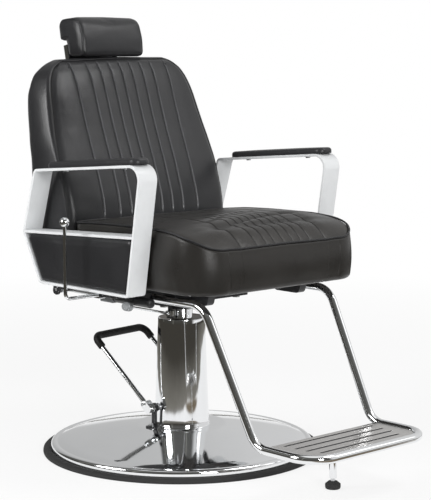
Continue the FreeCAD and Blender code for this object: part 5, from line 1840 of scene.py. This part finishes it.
@dataclass
class FootRest:
    """Bent tube with a slotted plate and an adjustable foot."""

    tube_r: float = 9.5
    top_x: float = 190.0
    low_x: float = 177.0
    top_z: float = SEAT_Z - 25.0
    low_z: float = 108.0
    rear_y: float = -125.0
    knee_y: float = -283.0
    low_y: float = -428.0
    front_y: float = -592.0
    front_r: float = 60.0
    plate_rear: float = -450.0
    plate_t: float = 3.0
    plate_edge: float = 0.7
    plate_corner: float = 8.0
    slots: tuple[tuple[float, float], ...] = ((-467, 136), (-497, 134), (-525, 131), (-554, 120))
    slot_w: float = 8.4
    shade_ring_set: float = 1.2
    shade_ring_r: float = 1.45
    leg_y: float = -478.0
    leg_r: float = 8.25
    leg_low: float = 24.0
    foot: tuple[tuple[float, float], ...] = (
        (0, 1.0), (14.6, 1.0), (15.6, 1.7), (16.4, 4.6), (16.5, 6.0), (16.5, 10.0), (16.1, 11.6), (14.6, 12.6),
        (10.4, 16.2), (9.4, 17.0), (0, 17.0))

    def path(self) -> Array:
        """Works out the tube's route.

        Returns:
            Its middle line.
        """
        leg = np.array([(self.top_x, self.rear_y, self.top_z), (self.top_x, self.knee_y, self.top_z),
                        (self.low_x, self.low_y, self.low_z), (self.low_x, self.front_y, self.low_z)])
        r = self.front_r
        return rounded([*(leg * (-1, 1, 1)), *leg[::-1]], [0, 55, 50, r, r, 50, 55, 0], False, 4.0)

    def build(self, shop: Workshop) -> None:
        """Makes the tube, the plate, the leg and the foot.

        Args:
            shop: Where they are made.
        """
        shop.piece("footrest_frame_tube", tube(self.path(), self.tube_r, 32), CHROME, Body.SEAT, ("footrest_tube",), 60)
        self.plate(shop)
        r, low, high = self.leg_r, self.leg_low, self.low_z + 4 - self.plate_t - 5
        leg = self.turned([(0, low), (r, low), (r, high - 2), (r, high), (0, high)])
        shop.piece("footrest_post", leg, CHROME, Body.SEAT, ("footrest_leg",), 40)
        shop.piece("footrest_rubber_foot", self.turned(self.foot), RUBBER, Body.SEAT, ("footrest_foot",), 50)

    def turned(self, profile: Sequence[tuple[float, float]]) -> Surface:
        """Turned piece on the leg's axis.

        Args:
            profile: (radius, height) points.

        Returns:
            Its surface.
        """
        made = lathe([(max(r, 0.01), z) for r, z in profile], 48, False)
        made.points[:, 1] += self.leg_y
        return made

    def slot_loops(self, margin: float, step: float) -> list[Array]:
        """Outlines of the slots.

        Args:
            margin: How far they are drawn in.
            step: Degrees between the points of their round ends.

        Returns:
            The outlines as (x, y) points.
        """
        w = self.slot_w / 2 - margin
        return [rectangle((margin - length, y - w), (length - margin, y + w), [w - 0.05] * 4, step)
                for y, length in self.slots]

    def plate(self, shop: Workshop) -> None:
        """Makes the footplate with its slots, and dark rings in the slots as painted shade.

        Args:
            shop: Where it is made.
        """
        reach = self.tube_r + 1
        half, r = self.low_x - reach, self.front_r - self.tube_r
        corners = [r, r, self.plate_corner, self.plate_corner]
        outline = rectangle((-half, self.front_y + reach), (half, self.plate_rear), corners, 4.0)
        flat = bpy.data.curves.new("plate", "CURVE")
        flat.dimensions, flat.fill_mode, flat.bevel_resolution = "2D", "BOTH", 3
        flat.extrude = (self.plate_t / 2 - self.plate_edge) * MM
        flat.bevel_depth = self.plate_edge * MM
        flat.offset = -self.plate_edge * MM
        for loop in (outline, *self.slot_loops(0.0, 15.0)):
            spline = flat.splines.new("POLY")
            spline.points.add(len(loop) - 1)
            for point, (x, y) in zip(spline.points, loop):
                point.co = (x * MM, y * MM, 0.0, 1.0)
            spline.use_cyclic_u = True
        temp = placed("plate", flat)
        solid = Surface.shown(temp, self.low_z + 4 - self.plate_t / 2)
        bpy.data.objects.remove(temp)
        bpy.data.curves.remove(flat)
        shop.piece("footrest_plate", solid, PLATE_METAL, Body.SEAT, ("footplate",), 35)
        # Painted shade: black rings inside the slots make them read dark.
        shade_rings = [tube(np.column_stack([loop, np.full(len(loop), self.low_z + 2.5)]), self.shade_ring_r, 12, True)
                   for loop in self.slot_loops(self.shade_ring_set, 6.0)]
        shop.piece("footrest_slot_shade_rings", Surface.together(shade_rings), BLACK_PAINT, Body.SEAT)


@dataclass
class Base:
    """Dished base with its ring, the pump's sleeve and the foot pedal."""

    ring_out: float = 320.0
    ring_w: float = 17.7
    hub_z: float = 60.0
    hub_edge: float = 107.5
    dish_low: float = 25.8
    dish_crown: float = 1.3
    dish_steps: int = 15
    bead_w: float = 16.0
    bead: tuple[tuple[float, float], ...] = (
        (-18.0, 25.0), (-16.6, 24.6), (-15.4, 24.3), (-14.2, 24.4), (-12.4, 24.8), (-10.2, 25.1), (-8.0, 25.1),
        (-5.4, 24.6), (-3.2, 23.5), (-1.5, 21.8), (-0.4, 19.6), (0.0, 17.0), (0.0, 4.0), (-2.7, 4.0), (-3.0, 17.6),
        (-15.4, 20.4))
    turn: float = 8.0
    sleeve_low: float = 64.0
    sleeve_top: float = 54.0
    sleeve_z: float = 309.0
    sleeve_foot: float = 70.0
    sleeve_steps: int = 24
    shaft_y: float = 23.5
    shaft_z: float = 104.0
    shaft_hole_r: float = 8.5
    piston: tuple[tuple[float, float], ...] = (
        (0.01, 118.2), (24.0, 118.2), (25.0, 119.2), (25.0, 329.0), (24.6, 330.0), (20.0, 330.0), (20.0, 356.0),
        (0.01, 356.0))
    pedal_half: float = 86.0
    pedal_reach: float = 227.0
    pedal_angle: float = 41.0
    pedal_r: float = 5.5
    pedal_corner: float = 19.0
    grip_r: float = 8.7

    def build(self, shop: Workshop) -> None:
        """Makes the base, the sleeve, the piston and the pedal.

        Args:
            shop: Where they are made.
        """
        out, rim, hub, edge = self.ring_out, self.ring_out - self.ring_w, self.hub_z, self.hub_edge
        disc = [(43.0, hub - 3), (43.0, hub), (96.0, hub), (102.0, hub - 0.3), (edge, hub - 1.2)]
        for k in range(1, self.dish_steps):
            share = k / self.dish_steps
            z = hub - 1.2 + (self.dish_low - hub + 1.2) * share + self.dish_crown * math.sin(math.pi * share)
            disc.append((edge + (rim - self.bead_w - edge) * share, z))
        disc += [(rim + r, z) for r, z in self.bead] + [(104.5, hub - 3.4)]
        shop.piece("base_dish", lathe(disc, 200), CHROME, Body.BASE, ("base_disc",), 50)
        ring = [(rim - 12, 0.0), (out - 2.4, 0.0), (out - 0.7, 0.7), (out, 2.2), (out, 5.4), (out - 0.5, 7.2),
                (out - 1.9, 8.8), (out - 4.4, 9.9), (out - 9.0, 10.6), (rim + 1.0, 11.0), (rim + 0.3, 10.4),
                (rim + 0.3, 3.7), (rim - 3.3, 3.7), (rim - 3.3, 15.0), (rim - 12, 15.0)]
        shop.piece("base_rubber_ring", lathe(ring, 200), RUBBER, Body.BASE, ("base_rim_ring",), 50)
        self.sleeve(shop)
        shop.piece("lift_piston", lathe(self.piston, 96, False), CHROME, Body.RAM, ("piston",), 35)
        self.pedal(shop)

    def turned(self, surface: Surface) -> Surface:
        """Turns a surface with the pump.

        Args:
            surface: The surface, which is changed.

        Returns:
            The surface itself.
        """
        a = math.radians(self.turn)
        x, y, z = surface.points.T
        surface.points = np.column_stack([x * math.cos(a) - y * math.sin(a), x * math.sin(a) + y * math.cos(a), z])
        return surface

    def sleeve(self, shop: Workshop) -> None:
        """Makes the chrome sleeve with the openings for the pedal shaft.

        Args:
            shop: Where it is made.
        """
        low, top, high, foot = self.sleeve_low, self.sleeve_top, self.sleeve_z, self.sleeve_foot
        outer = [(low + 2, 60.0), (low + 1.7, 61.6), (low + 0.9, 63.4), (low - 0.3, 66.0), (low - 1, foot)]
        for k in range(1, self.sleeve_steps):
            share = k / self.sleeve_steps
            outer.append((low - 1 + (top - low + 1) * share, foot + (high - 2 - foot) * share))
        outer += [(top, high - 1.6), (top - 0.3, high - 0.5), (top - 1.0, high), (top - 2, high)]
        inner = [(top - 2.1, high - 2), (low - 3, foot), (low - 2, 60.0)]
        shaft = np.array([(x, self.shaft_y, self.shaft_z) for x in (-95.0, 95.0)])
        shapes = {"sleeve_blank": lathe(outer + inner, 160), "shaft_cutter": tube(shaft, self.shaft_hole_r, 40)}
        blank, cutter = (placed(name, self.turned(shape).mesh(name)) for name, shape in shapes.items())
        cut = blank.modifiers.new("shaft_opening", "BOOLEAN")
        cut.operation, cut.solver, cut.object = "DIFFERENCE", "EXACT", cutter
        sleeve = Surface.shown(blank)
        for thing in (blank, cutter):
            mesh = thing.data
            bpy.data.objects.remove(thing)
            bpy.data.meshes.remove(mesh)
        shop.piece("column_sleeve", sleeve, CHROME, Body.BASE, ("pump_sleeve",), 35)

    def bow(self, start: float, step: float) -> Array:
        """Route of the pedal, from one arm round to the other, before it is turned.

        Args:
            start: Distance from the shaft at which it starts and ends.
            step: Degrees between points in its corners.

        Returns:
            Its middle line.
        """
        a, w, far, corner = math.radians(self.pedal_angle), self.pedal_half, self.pedal_reach, self.pedal_corner
        points = [(x, self.shaft_y + reach * math.cos(a), self.shaft_z + reach * math.sin(a))
                  for x, reach in ((-w, start), (-w, far), (w, far), (w, start))]
        return rounded(points, [0, corner, corner, 0], False, step)

    def pedal(self, shop: Workshop) -> None:
        """Makes the pedal's rod and its rubber grip.

        Args:
            shop: Where they are made.
        """
        rod = self.turned(tube(self.bow(9.5, 6.0), self.pedal_r, 24))
        shop.piece("pedal_bow", rod, CHROME, Body.PEDAL, ("pedal_rod",), 60)
        path = self.bow(self.pedal_reach - self.pedal_corner - 16, 5.0)
        first, last = unit(path[1] - path[0]), unit(path[-2] - path[-1])
        path = np.vstack([path[0], path[0] + first * 0.9, path[0] + first * 2.6, path[1:-1],
                          path[-1] + last * 2.6, path[-1] + last * 0.9, path[-1]])
        size = np.full(len(path), self.grip_r)
        size[[0, -1]], size[[1, -2]] = self.grip_r - 2.3, self.grip_r - 0.7
        shop.piece("pedal_rubber_grip", self.turned(tube(path, size, 32)), GRIP_RUBBER, Body.PEDAL, ("pedal_grip",), 60)


@dataclass
class ReclineLever:
    """Bent lever of the recline with its ball."""

    x: float = -345.0
    y: float = -15.0
    low_z: float = 387.0
    top_z: float = 545.0
    inner_x: float = -229.0
    bend_r: float = 12.0
    rod_r: float = 4.0
    ball_r: float = 10.5

    def build(self, shop: Workshop) -> None:
        """Makes the lever's rod and ball.

        Args:
            shop: Where they are made.
        """
        points = [(self.x, self.y, self.top_z), (self.x, self.y, self.low_z), (self.inner_x, self.y, self.low_z)]
        rod = tube(rounded(points, [0, self.bend_r, 0], False), self.rod_r, 24)
        shop.piece("recline_rod", rod, CHROME, Body.RECLINE_LEVER, ("recline_lever_rod",), 60)
        r, centre = self.ball_r, self.top_z + self.ball_r - 3
        angles = [math.radians(angle) for angle in range(85, -70, -6)]
        profile = [(0.01, centre + r), *[(r * math.cos(a), centre + r * math.sin(a)) for a in angles],
                   (4.1, centre - 9.4), (0.01, centre - 9.4)]
        ball = lathe(profile[::-1], 64, False)
        ball.points += (self.x, self.y, 0.0)
        shop.piece("recline_ball", ball, CHROME, Body.RECLINE_LEVER, ("recline_lever_ball",), 60)


@dataclass
class Chair:
    """All sub-assemblies of the chair."""

    finishes: tuple[Finish, ...] = (LEATHER, CHROME, ARM_PAINT, BLACK_PAINT, GREY_CAST, ZINC, GROUND, IRON, BRONZE,
                                    RUBBER, PAD_PLASTIC, PLYWOOD)

    def build(self, shop: Workshop) -> None:
        """Builds the chair in order and dresses the CAD nodes that stay.

        Args:
            shop: Where it is made.
        """
        arms = [Arm(side) for side in Side]
        for assembly in (SeatCushion(), BackRest(), HeadRest(), *arms, FootRest(), Base(), ReclineLever()):
            assembly.build(shop)
        by_slot = {finish.slot: finish for finish in self.finishes}
        for part in frame["record"]["subparts"]:
            shop.dress(part["node"], by_slot[part["material_slot"]])


def main() -> None:
    """Builds the studio and the chair."""
    logging.basicConfig(level=logging.INFO, format="%(message)s")
    Studio().build()
    shop = Workshop()
    Chair().build(shop)
    log.info("%d pieces made", len(shop.made))


if __name__ == "__main__":
    main()
